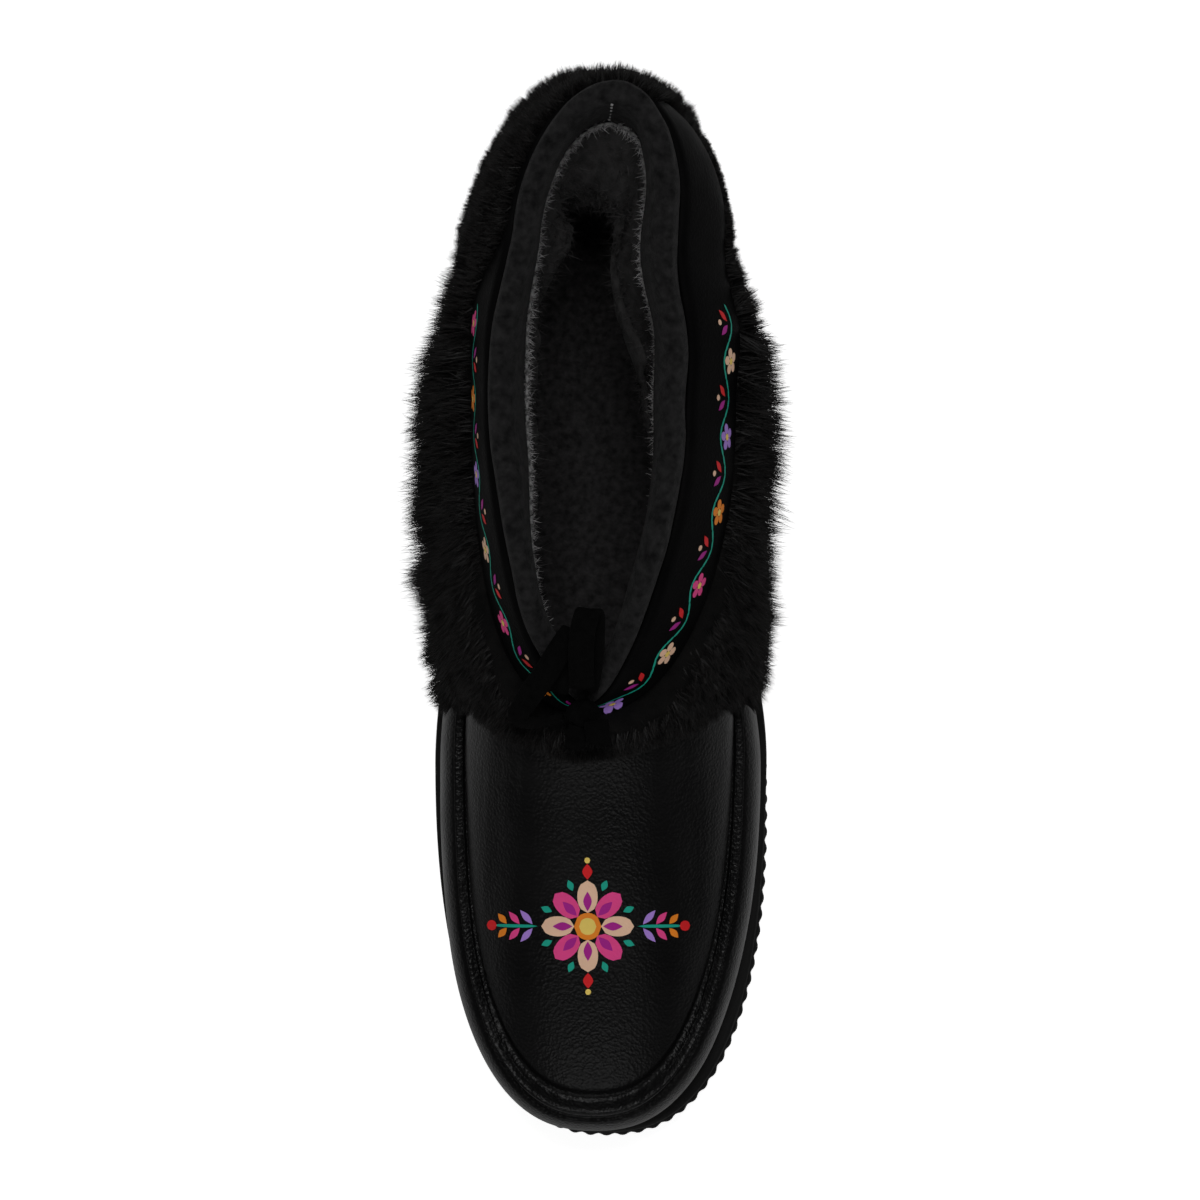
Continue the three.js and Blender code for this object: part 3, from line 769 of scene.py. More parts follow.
THREAD = Finish(
    "grey_thread", (0.2, 0.2, 0.2), (0.36, 0.36, 0.36), (0.6, 0.8), 0.1,
    (("Fibres", 5000.0), ("Tufts", 2000.0)), specular=0.2, group=nap_group,
)
UNDERFUR = Finish(
    "underfur", (0.004, 0.004, 0.004), (0.008, 0.0077, 0.0075), (0.85, 1.0), 0.8,
    (("Fibres", 1600.0), ("Tufts", 240.0)), specular=0.05, group=nap_group,
)
FUR = HairFinish("long_fur", (0.0048, 0.0047, 0.0047), (0.0196, 0.0182, 0.0177), 0.5, 0.14)
PILE = HairFinish("plush_pile", (0.016, 0.0157, 0.0158), (0.068, 0.0667, 0.067), 0.8, 0.1)
FLEECE = HairFinish("pale_fleece", (0.09, 0.09, 0.09), (0.6, 0.59, 0.595), 0.8, 0.1)
FRAYED = HairFinish("frayed_thong", (0.0015, 0.0015, 0.0015), (0.006, 0.006, 0.006), 0.8, 0.08)

PRINT_WEAR = 0.93


class Ink(Enum):
    """Colours that the band and the apron are printed in."""

    TEAL = (0.01, 0.42, 0.3)
    PINK = (0.9, 0.07, 0.3)
    MAGENTA = (0.45, 0.015, 0.3)
    RED = (0.78, 0.015, 0.02)
    ORANGE = (0.95, 0.27, 0.02)
    YELLOW = (0.98, 0.72, 0.16)
    CREAM = (0.95, 0.62, 0.43)
    LAVENDER = (0.46, 0.26, 0.78)

    def material(self) -> bpy.types.Material:
        """The colour as a slightly worn print on leather."""
        worn = tuple(channel * PRINT_WEAR for channel in self.value)
        return Finish(
            f"print_{self.name.lower()}", worn, self.value, (0.45, 0.6), 0.05,
            (("Cells", 1300.0), ("Patches", 220.0)), specular=0.2,
        ).material()


@dataclass(frozen=True)
class SoftBox:
    """A soft light that points at the boot: its place and size in metres and its power in watts."""

    name: str
    place: Point
    size: tuple[float, float]
    power: float

    def build(self) -> None:
        """Hangs the light."""
        data = bpy.data.lights.new(self.name, "AREA")
        data.shape = "RECTANGLE"
        data.size, data.size_y = self.size
        data.energy = self.power
        light = bpy.data.objects.new(self.name, data)
        light.location = self.place
        light.rotation_euler = (-Vector(self.place)).to_track_quat("-Z", "Y").to_euler()
        bpy.context.scene.collection.objects.link(light)


@dataclass
class Studio:
    """The camera over the boot, a pale floor, soft lights and a dim surround, in metres."""

    camera_at: Point = (0.056, -0.001, 2.6)
    view_width: float = 0.312
    sensor: float = 36
    far: float = 20
    floor_half: float = 6
    boxes: tuple[SoftBox, ...] = (
        SoftBox("left_box", (-1.5, 0.1, 0.42), (0.4, 1.8), 0.3),
        SoftBox("right_box", (1.5, 0.1, 0.42), (0.4, 1.8), 0.3),
        SoftBox("toe_box", (0.0, -1.6, 1.0), (0.8, 0.9), 4.4),
        SoftBox("high_box", (0.05, 0.75, 2.4), (0.9, 0.8), 22),
    )
    paper_glow: float = 0.85
    horizon: float = 0.37
    zenith: float = 0.1
    side_share: float = 0.12

    def set_camera(self) -> None:
        """Looks down on the boot from over the middle of a pair, with its toe at the picture's foot."""
        data = bpy.data.cameras.new("camera")
        camera = bpy.data.objects.new("camera", data)
        bpy.context.scene.collection.objects.link(camera)
        camera.location = self.camera_at
        ahead = (-camera.location).normalized()
        right = ahead.cross(Vector((0, 1, 0))).normalized()
        up = right.cross(ahead)
        turned = Matrix((right, up, -ahead)).transposed()
        camera.rotation_euler = turned.to_euler()
        data.sensor_width = self.sensor
        data.lens = self.sensor * self.camera_at[2] / self.view_width
        data.clip_end = self.far
        bpy.context.scene.camera = camera

    def build(self) -> None:
        """Puts up the camera, floor, lights and a dim surround."""
        self.set_camera()
        bm = bmesh.new()
        bmesh.ops.create_grid(bm, x_segments=1, y_segments=1, size=self.floor_half)
        floor = object_of("floor", bm, smooth_faces=False)
        paper, skin = new_material("pale_floor")
        nodes, link = paper.node_tree.nodes, paper.node_tree.links.new
        skin.inputs["Base Color"].default_value = (0.8, 0.8, 0.8, 1)
        skin.inputs["Roughness"].default_value = 0.9
        skin.inputs["Emission Color"].default_value = (1, 1, 1, 1)
        sight = add_node(nodes, "ShaderNodeLightPath")
        glow = add_node(nodes, "ShaderNodeMath", {1: self.paper_glow}, operation="MULTIPLY")
        link(sight.outputs["Is Camera Ray"], glow.inputs[0])
        link(glow.outputs[0], skin.inputs["Emission Strength"])
        floor.data.materials.append(paper)
        for box in self.boxes:
            box.build()
        self.surround()
        bpy.context.scene.view_settings.view_transform = "Standard"
        bpy.context.scene.view_settings.look = "None"
        log.info("studio: camera, floor and lights")

    def surround(self) -> None:
        """Sets a surround that is bright at the horizon and dim at the sides and overhead."""
        world = bpy.data.worlds.new("surround")
        bpy.context.scene.world = world
        world.use_nodes = True
        nodes, link = world.node_tree.nodes, world.node_tree.links.new
        sky = nodes["Background"]
        sky.inputs["Color"].default_value = (1, 1, 1, 1)
        ray = add_node(nodes, "ShaderNodeTexCoord")
        parts = add_node(nodes, "ShaderNodeSeparateXYZ")
        climb = {"From Min": 0.1, "From Max": 0.9, "To Min": self.horizon, "To Max": self.zenith}
        fall = add_node(nodes, "ShaderNodeMapRange", climb, interpolation_type="SMOOTHSTEP")
        square = add_node(nodes, "ShaderNodeMath", operation="MULTIPLY")
        sides = add_node(nodes, "ShaderNodeMapRange", {"To Min": 1.0, "To Max": self.side_share})
        both = add_node(nodes, "ShaderNodeMath", operation="MULTIPLY")
        link(ray.outputs["Generated"], parts.inputs[0])
        link(parts.outputs["Z"], fall.inputs["Value"])
        link(parts.outputs["X"], square.inputs[0])
        link(parts.outputs["X"], square.inputs[1])
        link(square.outputs[0], sides.inputs["Value"])
        link(fall.outputs["Result"], both.inputs[0])
        link(sides.outputs["Result"], both.inputs[1])
        link(both.outputs[0], sky.inputs["Strength"])


@dataclass(frozen=True)
class Route:
    """Where a stretch of the flat thong runs: its points and the direction that its width lies in."""

    name: str
    points: tuple[Point, ...]
    across: tuple[Point, ...]


@dataclass
class Bow:
    """The knot, loops and short ends of a flat thong at the throat."""

    width: float = 6.4
    thickness: float = 1.3
    knot: Point = (-3.0, -29.5, 88.0)
    knot_width: float = 9.0
    steps: int = 48
    corners: int = 12
    fray_count: int = 220
    loops: tuple[Route, ...] = (
        Route(
            "lace_loop_up",
            (
                (-2.2, -23.2, 92.4), (-1, -17, 99), (-0.3, -10, 105.4), (-0.2, -5, 108.4),
                (-1.2, -4, 111), (-2.6, -8.4, 110), (-3.2, -15.6, 105), (-3.2, -22.8, 97.2),
            ),
            (
                (1, 0, 0), (0.95, 0, 0.2), (0.9, 0.1, 0.3), (0.9, 0.1, 0.3),
                (1, 0, 0.2), (1, 0, 0), (1, 0, 0), (1, 0, 0),
            ),
        ),
        Route(
            "lace_loop_side",
            (
                (-8, -30.2, 90.2), (-12, -31.2, 90), (-16.4, -31.8, 90), (-19.2, -29.8, 91.2),
                (-16, -24.6, 95), (-12.4, -19.8, 98.8), (-9.2, -14.6, 100.8), (-6, -10, 101.4),
                (-5.2, -9.2, 99.4), (-6.4, -13, 98.2), (-8.4, -18, 96.6), (-9.8, -24, 93.6),
            ),
            (
                (0, 0.2, 1), (0, 0.3, 1), (0.1, 0.4, 0.9), (0.5, 0.5, 0.7),
                (0.8, -0.5, 0.4), (0.8, -0.55, 0.2), (0.8, -0.55, 0.1), (0.8, -0.5, 0.1),
                (0.85, -0.4, 0.1), (0.9, -0.3, 0.1), (1, -0.1, 0.1), (1, 0, 0.1),
            ),
        ),
    )
    ends: tuple[Route, ...] = (
        Route(
            "lace_end_low",
            ((-3.6, -33.1, 88.8), (-4, -34.4, 88.9), (-4.4, -36.4, 88.3), (-4.6, -38.2, 87.2)),
            ((1, 0.1, 0), (1, 0.1, 0), (1, 0.1, 0), (1, 0.1, 0)),
        ),
        Route(
            "lace_end_high",
            ((0.2, -31.4, 90.8), (0.5, -33.4, 91.2), (0.8, -35.6, 90.7), (1, -37.4, 89.6)),
            ((1, -0.1, 0), (1, -0.1, 0), (1, -0.1, 0), (1, -0.1, 0)),
        ),
    )

    @staticmethod
    def spline(points: tuple[Point, ...], shares: np.ndarray) -> np.ndarray:
        """Points on a smooth line through given points.

        Args:
            points: The points that the line passes.
            shares: Places along it from 0 to 1.

        Returns:
            An array of points.
        """
        knots = np.array(points, float)
        knots = np.concatenate([[2 * knots[0] - knots[1]], knots, [2 * knots[-1] - knots[-2]]])
        place = shares * (len(points) - 1)
        i = np.clip(np.floor(place).astype(int), 0, len(points) - 2)
        t = (place - i)[:, None]
        a, b, c, d = (knots[i + k] for k in range(4))
        return flowing(a, b, c, d, t)

    def strap(self, route: Route) -> bpy.types.Object:
        """Builds one flat stretch with rounded edges along its route.

        Args:
            route: The stretch.

        Returns:
            The object.
        """

        def place(u: np.ndarray, v: np.ndarray) -> np.ndarray:
            """Puts the section's corner u at the share v of the route."""
            centre = self.spline(route.points, v)
            along = unit(self.spline(route.points, v + 0.004) - self.spline(route.points, v - 0.004))
            thick = unit(np.cross(along, self.spline(route.across, v)))
            wide = unit(np.cross(thick, along))
            angle = u * FULL_TURN
            flat = np.sign(np.cos(angle)) * np.abs(np.cos(angle)) ** 0.5 * self.width / 2
            high = np.sign(np.sin(angle)) * np.abs(np.sin(angle)) ** 0.7 * self.thickness / 2
            return centre + wide * flat[:, None] + thick * high[:, None]

        strap = woven(route.name + "_thong", self.corners, self.steps, place)
        with reworked(strap) as bm:
            bmesh.ops.holes_fill(bm, edges=bm.edges, sides=self.corners)
            bmesh.ops.recalc_face_normals(bm, faces=bm.faces)
        return strap

    def tie(self) -> bpy.types.Object:
        """Builds the knot: a squashed lump with a strap's width wrapped over it."""
        bm = bmesh.new()
        bmesh.ops.create_icosphere(bm, subdivisions=4, radius=1)
        for vert in bm.verts:
            x, y, z = vert.co
            wrap = 1 + 0.16 * math.exp(-((x * 2.1) ** 4))
            vert.co = Vector((x * 0.5, y * 0.36 * wrap, z * 0.31 * wrap)) * self.knot_width
            vert.co *= 1 + 0.05 * noise.noise(vert.co * 0.9)
            vert.co = Vector(to_frame(np.array(vert.co) + self.knot))
        return object_of("lace_knot_wrap", bm)

    def fray(self, route: Route, seed: int) -> bpy.types.Object:
        """Builds the loose fibres at a cut end.

        Args:
            route: The end's route.
            seed: The seed of the fibres' places.

        Returns:
            The object.
        """
        chance = np.random.default_rng(seed)
        count = self.fray_count
        tip = self.spline(route.points, np.array([1.0]))[0]
        along = unit(tip - self.spline(route.points, np.array([0.9]))[0])
        wide = unit(np.array(route.across[-1], float))
        thick = unit(np.cross(along, wide))
        across = chance.uniform(-0.5, 0.5, (count, 1)) * self.width
        layer = chance.uniform(-0.4, 0.4, (count, 1)) * self.thickness
        root = tip - along * 0.8 + wide * across + thick * layer
        aim = unit(along + chance.normal(0, 0.28, (count, 3)) + wide * across * 0.05)
        length = chance.uniform(1.2, 2.6, (count, 1))
        curl = chance.normal(0, 0.15, (count, 3))
        spine = [root, root + aim * length * 0.5, root + (aim + curl) * length]
        side = across_strands(aim, chance) * 0.12
        return strands(route.name + "_fray", spine, side, chance.uniform(0.2, 1, count), (1.0, 0.8))

    def build(self) -> None:
        """Makes the knot, the loops and the ends, and says how long each loop is."""
        knot = dress(self.tie(), THONG.material(), "lace", "lace_knot")
        for seed, route in enumerate(self.ends):
            dress(self.strap(route), THONG.material(), "lace", route.name)
            dress(self.fray(route, seed), FRAYED.material(), "lace")
        for route in self.loops:
            strap = dress(self.strap(route), THONG.material(), "lace", route.name)
            path = to_frame(self.spline(route.points, np.linspace(0, 1, 61)))
            length = float(np.linalg.norm(np.diff(path, axis=0), axis=1).sum())
            log.info("%s: %.0f mm of thong", route.name, length / MM)
        log.info("lace: knot, loops and ends")


@dataclass
class Outsole:
    """The moulded sole: a plain lip, a ribbed side and a tread."""

    rib_pitch: float = 4.3
    rib_depth: float = 0.62
    skirt: tuple[float, float] = (-1.1, -0.4)
    lip_reach: tuple[float, float] = (-0.3, -1.5)
    lip: float = 3.2
    rim: float = 9.0
    tread_pitch: float = 9.5
    tread_depth: float = 1.7
    tread_inset: float = 5.0
    tread_thickness: float = 4.0
    edge_steps: int = 2881

    def edge(self) -> tuple[np.ndarray, np.ndarray, np.ndarray]:
        """The sole's outline by length.

        Returns:
            Lengths from the heel, points and directions out of the outline.
        """
        line = LAST.foot.point(np.linspace(0, FULL_TURN, self.edge_steps), 0.0, LAST.sole_shift)
        ahead = np.roll(line[:-1], -1, axis=0) - np.roll(line[:-1], 1, axis=0)
        ahead = np.concatenate([ahead, ahead[:1]])
        outward = unit(np.stack([ahead[:, 1], -ahead[:, 0]], axis=-1))
        return lengths_along(line), line, outward

    def side(self) -> bpy.types.Object:
        """Builds the lip and the ribbed side as one closed ring."""
        lengths, line, outward = self.edge()
        ribs = round(lengths[-1] / self.rib_pitch)

        def place(u: np.ndarray, v: np.ndarray) -> np.ndarray:
            """Puts the section's point v at the share u of the girth."""
            along = u * lengths[-1]
            spot = np.stack([np.interp(along, lengths, line[:, k]) for k in range(2)], axis=-1)
            out = unit(np.stack([np.interp(along, lengths, outward[:, k]) for k in range(2)], axis=-1))
            at = LAST.station_of_y(spot[:, 1])
            inner = np.where(spot[:, 0] > 0, smooth((at - 0.5) / 0.3), smooth((at - 0.93) / 0.07))
            edge = mix(*self.lip_reach, inner)
            rib = mix(*self.skirt, inner)
            rib = rib - self.rib_depth * (0.5 - 0.5 * np.cos(FULL_TURN * u * ribs)) ** 1.2
            top, bottom = LAST.sole_top(at), LAST.sole_bottom(at)
            low = top - self.lip
            section = [
                (-self.rim, top), (edge - 1.1, top), (edge - 0.35, top - 0.25), (edge, top - 0.95),
                (edge, low + 0.6), (edge - 0.4, low), (rib - 0.5, low - 0.25), (rib, low - 1.0),
                (rib, bottom + 1.6), (rib - 0.35, bottom + 0.5), (rib - 1.3, bottom),
                (-self.rim, bottom), (-self.rim, (top + bottom) / 2), (-self.rim, top),
            ]
            row = np.rint(v * (len(section) - 1)).astype(int)
            reach = np.stack([np.broadcast_to(point[0], u.shape) for point in section])
            height = np.stack([np.broadcast_to(point[1], u.shape) for point in section])
            picked = np.arange(len(u))
            plan = spot + out * reach[row, picked][:, None]
            return np.concatenate([plan, height[row, picked][:, None]], axis=-1)

        ring = woven("outsole_side", ribs * 6, 13, place)
        with reworked(ring) as bm:
            bmesh.ops.recalc_face_normals(bm, faces=bm.faces)
        return ring

    def tread(self) -> bpy.types.Object:
        """Builds the tread plate inside the ring, with wavy cross grooves."""

        def place(u: np.ndarray, v: np.ndarray) -> np.ndarray:
            """Spreads the plate's columns u over the outline's width at the share v of its length."""
            inset = self.tread_inset
            foot = LAST.foot
            y = mix(foot.front + inset * 1.6, foot.back - inset * 1.6, v)
            at = LAST.station_of_y(y)
            outer = foot.half_width(np.full_like(at, 1.0), at, 0.0) - inset * 0.7
            inner = foot.half_width(np.full_like(at, 5.0), at, 0.0) - inset * 0.7
            x = mix(inner, -outer, u) + LAST.sole_shift * smooth((at - 0.62) / 0.38)
            wave = (y + 1.8 * np.sin(FULL_TURN * x / 17)) / self.tread_pitch
            groove = smooth((np.cos(FULL_TURN * wave) - 0.35) / 0.3)
            flat = 1 - bump((at - 0.4) / 0.07)
            z = LAST.sole_bottom(at) + self.tread_depth * groove * flat
            return np.stack([x, y, z], axis=-1)

        plate = woven("outsole_tread", 30, 150, place)
        turn_faces(plate, up=False)
        return thicken(plate, self.tread_thickness)

    def build(self) -> None:
        """Makes the sole's two pieces."""
        dress(self.side(), RUBBER.material(), "outsole", "outsole")
        dress(self.tread(), RUBBER.material(), "outsole", "outsole")
        log.info("outsole: side and tread")


@dataclass(frozen=True)
class Crease:
    """A soft trough in the leather: its two ends seen from above, its half width and depth."""

    start: tuple[float, float]
    end: tuple[float, float]
    half_width: float
    depth: float

    def relief(self, points: np.ndarray) -> np.ndarray:
        """How far the trough lowers the leather at each point."""
        start, end = np.array(self.start), np.array(self.end)
        along = end - start
        share = np.clip(((points[:, :2] - start) @ along) / (along @ along), 0, 1)
        away = np.linalg.norm(points[:, :2] - start - share[:, None] * along, axis=-1)
        return -self.depth * bump(away / self.half_width)


@dataclass
class Upper:
    """The leather upper with its raised apron seam, the seam's puckers and the soft creases."""

    columns: int = 360
    seam_height: float = 2.4
    seam_half_width: float = 1.35
    inner_dip: float = 1.3
    outer_dip: float = 0.9
    pucker_pitch: float = 5.2
    pucker_depth: float = 0.34
    creases: tuple[Crease, ...] = (
        Crease((-19, -44), (-2, -46), 3.2, 0.55),
        Crease((-2, -46), (13, -43.5), 3.0, 0.5),
        Crease((24, -50), (9, -61), 4.2, 0.3),
        Crease((-27, -52), (-15, -66), 4.0, 0.28),
        Crease((17, -78), (25, -92), 4.5, -0.22),
        Crease((-21, -80), (-26, -96), 4.5, -0.2),
    )

    def levels(self) -> np.ndarray:
        """Rings of the grid, close together at the seam."""
        seam = LAST.seam_level
        below = np.linspace(0, seam - 0.7, 12, endpoint=False)
        close = np.linspace(seam - 0.7, seam + 0.75, 34, endpoint=False)
        above = np.linspace(seam + 0.75, Level.EDGE, 14)
        return np.concatenate([below, close, above])

    def relief(self, turn: np.ndarray, level: np.ndarray) -> np.ndarray:
        """How far the seam, its channels and its puckers stand off the face."""
        station = LAST.station(turn)
        fade = smooth((station - 0.36) / 0.12)
        seam = LAST.face(turn, np.full_like(level, LAST.seam_level))
        away = np.linalg.norm(LAST.face(turn, level) - seam, axis=-1) * np.sign(level - LAST.seam_level)
        ridge = self.seam_height * np.exp(-np.abs(away / self.seam_half_width) ** 2.4)
        inside = self.inner_dip * bump((away - 3.3) / 1.7)
        outside = self.outer_dip * bump((away + 2.9) / 1.1)
        girths, turns = paced(LAST.seam_level, 0.0)
        beat = 0.5 - 0.5 * np.cos(FULL_TURN * np.interp(turn, turns, girths) / self.pucker_pitch)
        pucker = self.pucker_depth * beat * bump((away - 1.7) / 1.3) * smooth((station - 0.6) / 0.2)
        return fade * (ridge - inside - outside - pucker)

    def place(self, u: np.ndarray, v: np.ndarray) -> np.ndarray:
        """Points of the outer face at the shares u round and v up."""
        rows = self.levels()
        turn = u * FULL_TURN
        level = rows[np.rint(v * (len(rows) - 1)).astype(int)]
        bare = LAST.face(turn, level)
        waver = 0.35 * rough(bare, 26) * smooth(level / 1.5)
        folds = sum(crease.relief(bare) for crease in self.creases) * smooth((level - 3.2) / 0.8)
        point = LAST.off(turn, level, self.relief(turn, level) + waver + folds)
        seat = LAST.sole_top(LAST.station_of_y(point[:, 1])) + GAP
        point[:, 2] = np.maximum(point[:, 2], seat)
        return point

    def build(self) -> bpy.types.Object:
        """Makes the upper.

        Returns:
            The piece.
        """
        piece = woven("upper_leather", self.columns, len(self.levels()) - 1, self.place)
        thicken(piece, WALL)
        dress(piece, LEATHER.material(), "upper", "upper")
        log.info("upper: %d faces", len(piece.data.polygons))
        return piece


@dataclass
class Collar:
    """The printed band, the facing bound over the edge, its stitches and the plush lining.

    The lean is how far the padded facing leans inwards, by station. The other rows go by level: how deep
    the lining stands, its share of the lean and of the padding, and how far it is drawn from the heel.
    """

    band_thickness: float = 1.5
    band_puff: float = 0.8
    binding: float = 1.0
    lean_outer: Rows = ((0, 4), (0.15, 5), (0.4, 6.5), (0.6, 6.5), (0.8, 4), (1, 2))
    lean_inner: Rows = ((0, 4), (0.12, 8.5), (0.3, 12), (0.5, 11), (0.7, 8), (0.85, 5), (1, 2))
    padding: Rows = ((0, 0.1), (4.2, 0.3), (5.3, 0.8), (6.1, 1), (6.8, 0.8), (7.2, 0.3), (7.4, 0))
    heel_draw: Rows = ((0, 16), (4.2, 16), (5.3, 13.5), (6.1, 10), (6.8, 8), (7.2, 3), (7.4, 0))
    lining_depth: Rows = (
        (0, 2.0), (1.5, 3.2), (4, 4.2), (5.5, 5.4), (6.6, 6.4), (7.1, 4.6), (7.3, 2.2), (7.5, 0.4),
    )
    lining_lean: Rows = ((0, 0.1), (3, 0.3), (5, 0.6), (6.5, 0.95), (7.36, 1.0), (7.5, 0.8))
    lining_top: float = 7.5
    stitch_pitch: float = 3.3
    stitch_length: float = 2.4
    stitch_width: float = 0.85
    back_stitches: int = 6
    back_turn: float = 0.01
    pile_count: int = 12000
    pile_levels: tuple[float, float] = (4.2, 7.4)
    fleece_count: int = 8000
    fleece_width: Rows = ((0, 0.8), (0.3, 0.9), (0.55, 1.3), (0.7, 2.6), (0.82, 4.2), (1, 3.0))

    def band_out(self, level: np.ndarray) -> np.ndarray:
        """How far the band's face stands off the upper."""
        middle = (Level.BAND_LOW + Level.BAND_HIGH) / 2
        share = np.clip(np.abs(level - middle) / (Level.BAND_HIGH - middle), 0, 1)
        return GAP + self.band_thickness + self.band_puff * (1 - share**2.2)

    def band_waver(self, turn: np.ndarray, level: np.ndarray) -> np.ndarray:
        """How far the band's slow unevenness stands off."""
        return 0.18 * rough(LAST.face(turn, level), 17)

    def band(self) -> bpy.types.Object:
        """Builds the leather band, with both edges turned in."""

        def place(u: np.ndarray, v: np.ndarray) -> np.ndarray:
            """Points of the band's face at the shares u round and v up."""
            level = mix(Level.BAND_LOW - 0.12, Level.BAND_HIGH, v)
            turned = 0.9 * (bump(v / 0.035) + bump((1 - v) / 0.035))
            turn = u * FULL_TURN
            return LAST.off(turn, level, self.band_out(level) - turned + self.band_waver(turn, level))

        return thicken(woven("collar_band_leather", 260, 16, place), 1.2)

    def lean(self, turn: np.ndarray) -> np.ndarray:
        """How far the padded facing leans inwards at its lower edge."""
        at = LAST.station(turn)
        return np.where(np.sin(turn) > 0, through(self.lean_outer, at), through(self.lean_inner, at))

    def facing_section(self) -> tuple[tuple[float, float, float, float], ...]:
        """The facing's section: level, distance off the upper, rise over its edge, share of the lean."""
        out = GAP + self.binding
        inner = -WALL - out
        low = Level.BAND_MIDDLE
        return (
            (Level.BINDING_LOW, out, 0, 0), (7.86, out + 0.3, 0, 0), (Level.EDGE, out + 0.25, 0.5, 0),
            (Level.EDGE, out * 0.45, 1.6, 0), (Level.EDGE, -WALL / 2, 1.9, 0),
            (Level.EDGE, inner * 0.8, 1.5, 0), (Level.EDGE, inner - 0.4, 0.1, 0.08),
            (7.78, inner - 0.6, 0, 0.36), (7.62, inner - 0.6, 0, 0.66), (7.48, inner - 0.3, 0, 0.88),
            (low + 0.02, inner, 0, 1), (low, inner + 1.2, 0, 1), (low, -WALL - 0.8, 0, 0.5),
            (7.7, -WALL - 0.5, 0, 0), (Level.EDGE, -WALL - 0.4, 0.3, 0),
            (Level.EDGE, 0.3, 0.3, 0), (7.86, 0.4, 0, 0), (Level.BINDING_LOW, 0.5, 0, 0),
        )

    def facing(self) -> bpy.types.Object:
        """Builds the facing, folded over the collar's edge and padded on its inner side."""
        section = self.facing_section()
        closed = section + section[:1]
        level, away, rise, lean = np.array(closed, float).T

        def place(u: np.ndarray, v: np.ndarray) -> np.ndarray:
            """Puts the section's point v at the share u of the way round."""
            row = np.rint(v * (len(closed) - 1)).astype(int)
            turn = u * FULL_TURN
            point = LAST.off(turn, level[row], away[row] - lean[row] * self.lean(turn))
            point[:, 2] += rise[row]
            soft = 0.6 * rough(point, 15) + 0.25 * rough(point, 6)
            return point + soft[:, None]

        return soften(woven("collar_facing_nap", 160, len(section), place))

    def stitches(self) -> bpy.types.Object:
        """Builds the stitch line along the facing's inner edge and the seam at the back."""
        inner = -WALL - GAP - self.binding - 0.6
        level = Level.BAND_MIDDLE + 0.04
        girths, turns = paced(level, inner)
        spots = np.arange(0, girths[-1] - self.stitch_pitch, self.stitch_pitch)
        round_turns = np.interp(spots, girths, turns)
        places = LAST.off(round_turns, np.full_like(spots, level), inner - 0.99 * self.lean(round_turns))
        around, up = LAST.tangents(round_turns, np.full_like(spots, level))
        pairs = [(place, along) for place, along in zip(places, around)]
        for high in np.linspace(Level.BAND_MIDDLE + 0.12, Level.EDGE - 0.02, self.back_stitches):
            at = (np.array([self.back_turn]), np.array([high]))
            share = (Level.EDGE - high) / (Level.EDGE - Level.BAND_MIDDLE)
            spot = LAST.off(*at, np.array([inner - 0.1 - 3.7 * share]))[0]
            pairs.append((spot, LAST.tangents(*at)[1][0]))
        size = Matrix.Diagonal((self.stitch_length / 2, self.stitch_width / 2, self.stitch_width / 2, 1))
        scale = Matrix.Scale(MM, 4)
        bm = bmesh.new()
        for place, along in pairs:
            turned = Vector(along).to_track_quat("X", "Z").to_matrix().to_4x4()
            spot = Matrix.Translation(Vector(to_frame(place)))
            bmesh.ops.create_icosphere(bm, subdivisions=1, radius=1, matrix=spot @ scale @ turned @ size)
        return object_of("facing_stitches", bm)

    def lining_out(self, turn: np.ndarray, level: np.ndarray) -> np.ndarray:
        """How deep the lining stands inside the upper: deepest at the heel and along its inner side."""
        station = LAST.station(turn)
        inner_side = smooth(0.5 - 1.5 * np.sin(turn))
        pad = smooth((0.6 - station) / 0.35) * mix(0.3, 8.0, inner_side)
        pad = pad + 7 * bump((station - 0.19) / 0.06) * (1 - inner_side)
        leant = self.lean(turn) * through(self.lining_lean, level)
        return WALL + through(self.lining_depth, level) + leant + pad * through(self.padding, level)

    def lining_point(self, turn: np.ndarray, level: np.ndarray, depth: np.ndarray) -> np.ndarray:
        """Points at a depth inside the upper, drawn forwards at the heel where the padding is deepest."""
        point = LAST.off(turn, level, -depth)
        point[:, 1] -= bump(LAST.station(turn) / 0.1) * through(self.heel_draw, level)
        return point

    def lining(self) -> bpy.types.Object:
        """Builds the plush lining from under the facing down to the footbed."""

        def place(u: np.ndarray, v: np.ndarray) -> np.ndarray:
            """Points of the lining's face at the shares u round and v down."""
            turn = u * FULL_TURN
            level = mix(7.55, 0.15, v)
            bare = LAST.face(turn, level)
            tuft = 0.9 * rough(bare, 5.5) + 0.5 * rough(bare + 31, 2.6)
            depth = self.lining_out(turn, level) + tuft * smooth((self.lining_top - level) / 0.3)
            point = self.lining_point(turn, level, depth)
            seat = LAST.sole_top(LAST.station_of_y(point[:, 1])) + 1.0
            point[:, 2] = np.maximum(point[:, 2], seat)
            return point

        return thicken(woven("plush_lining", 170, 44, place), 1.0)

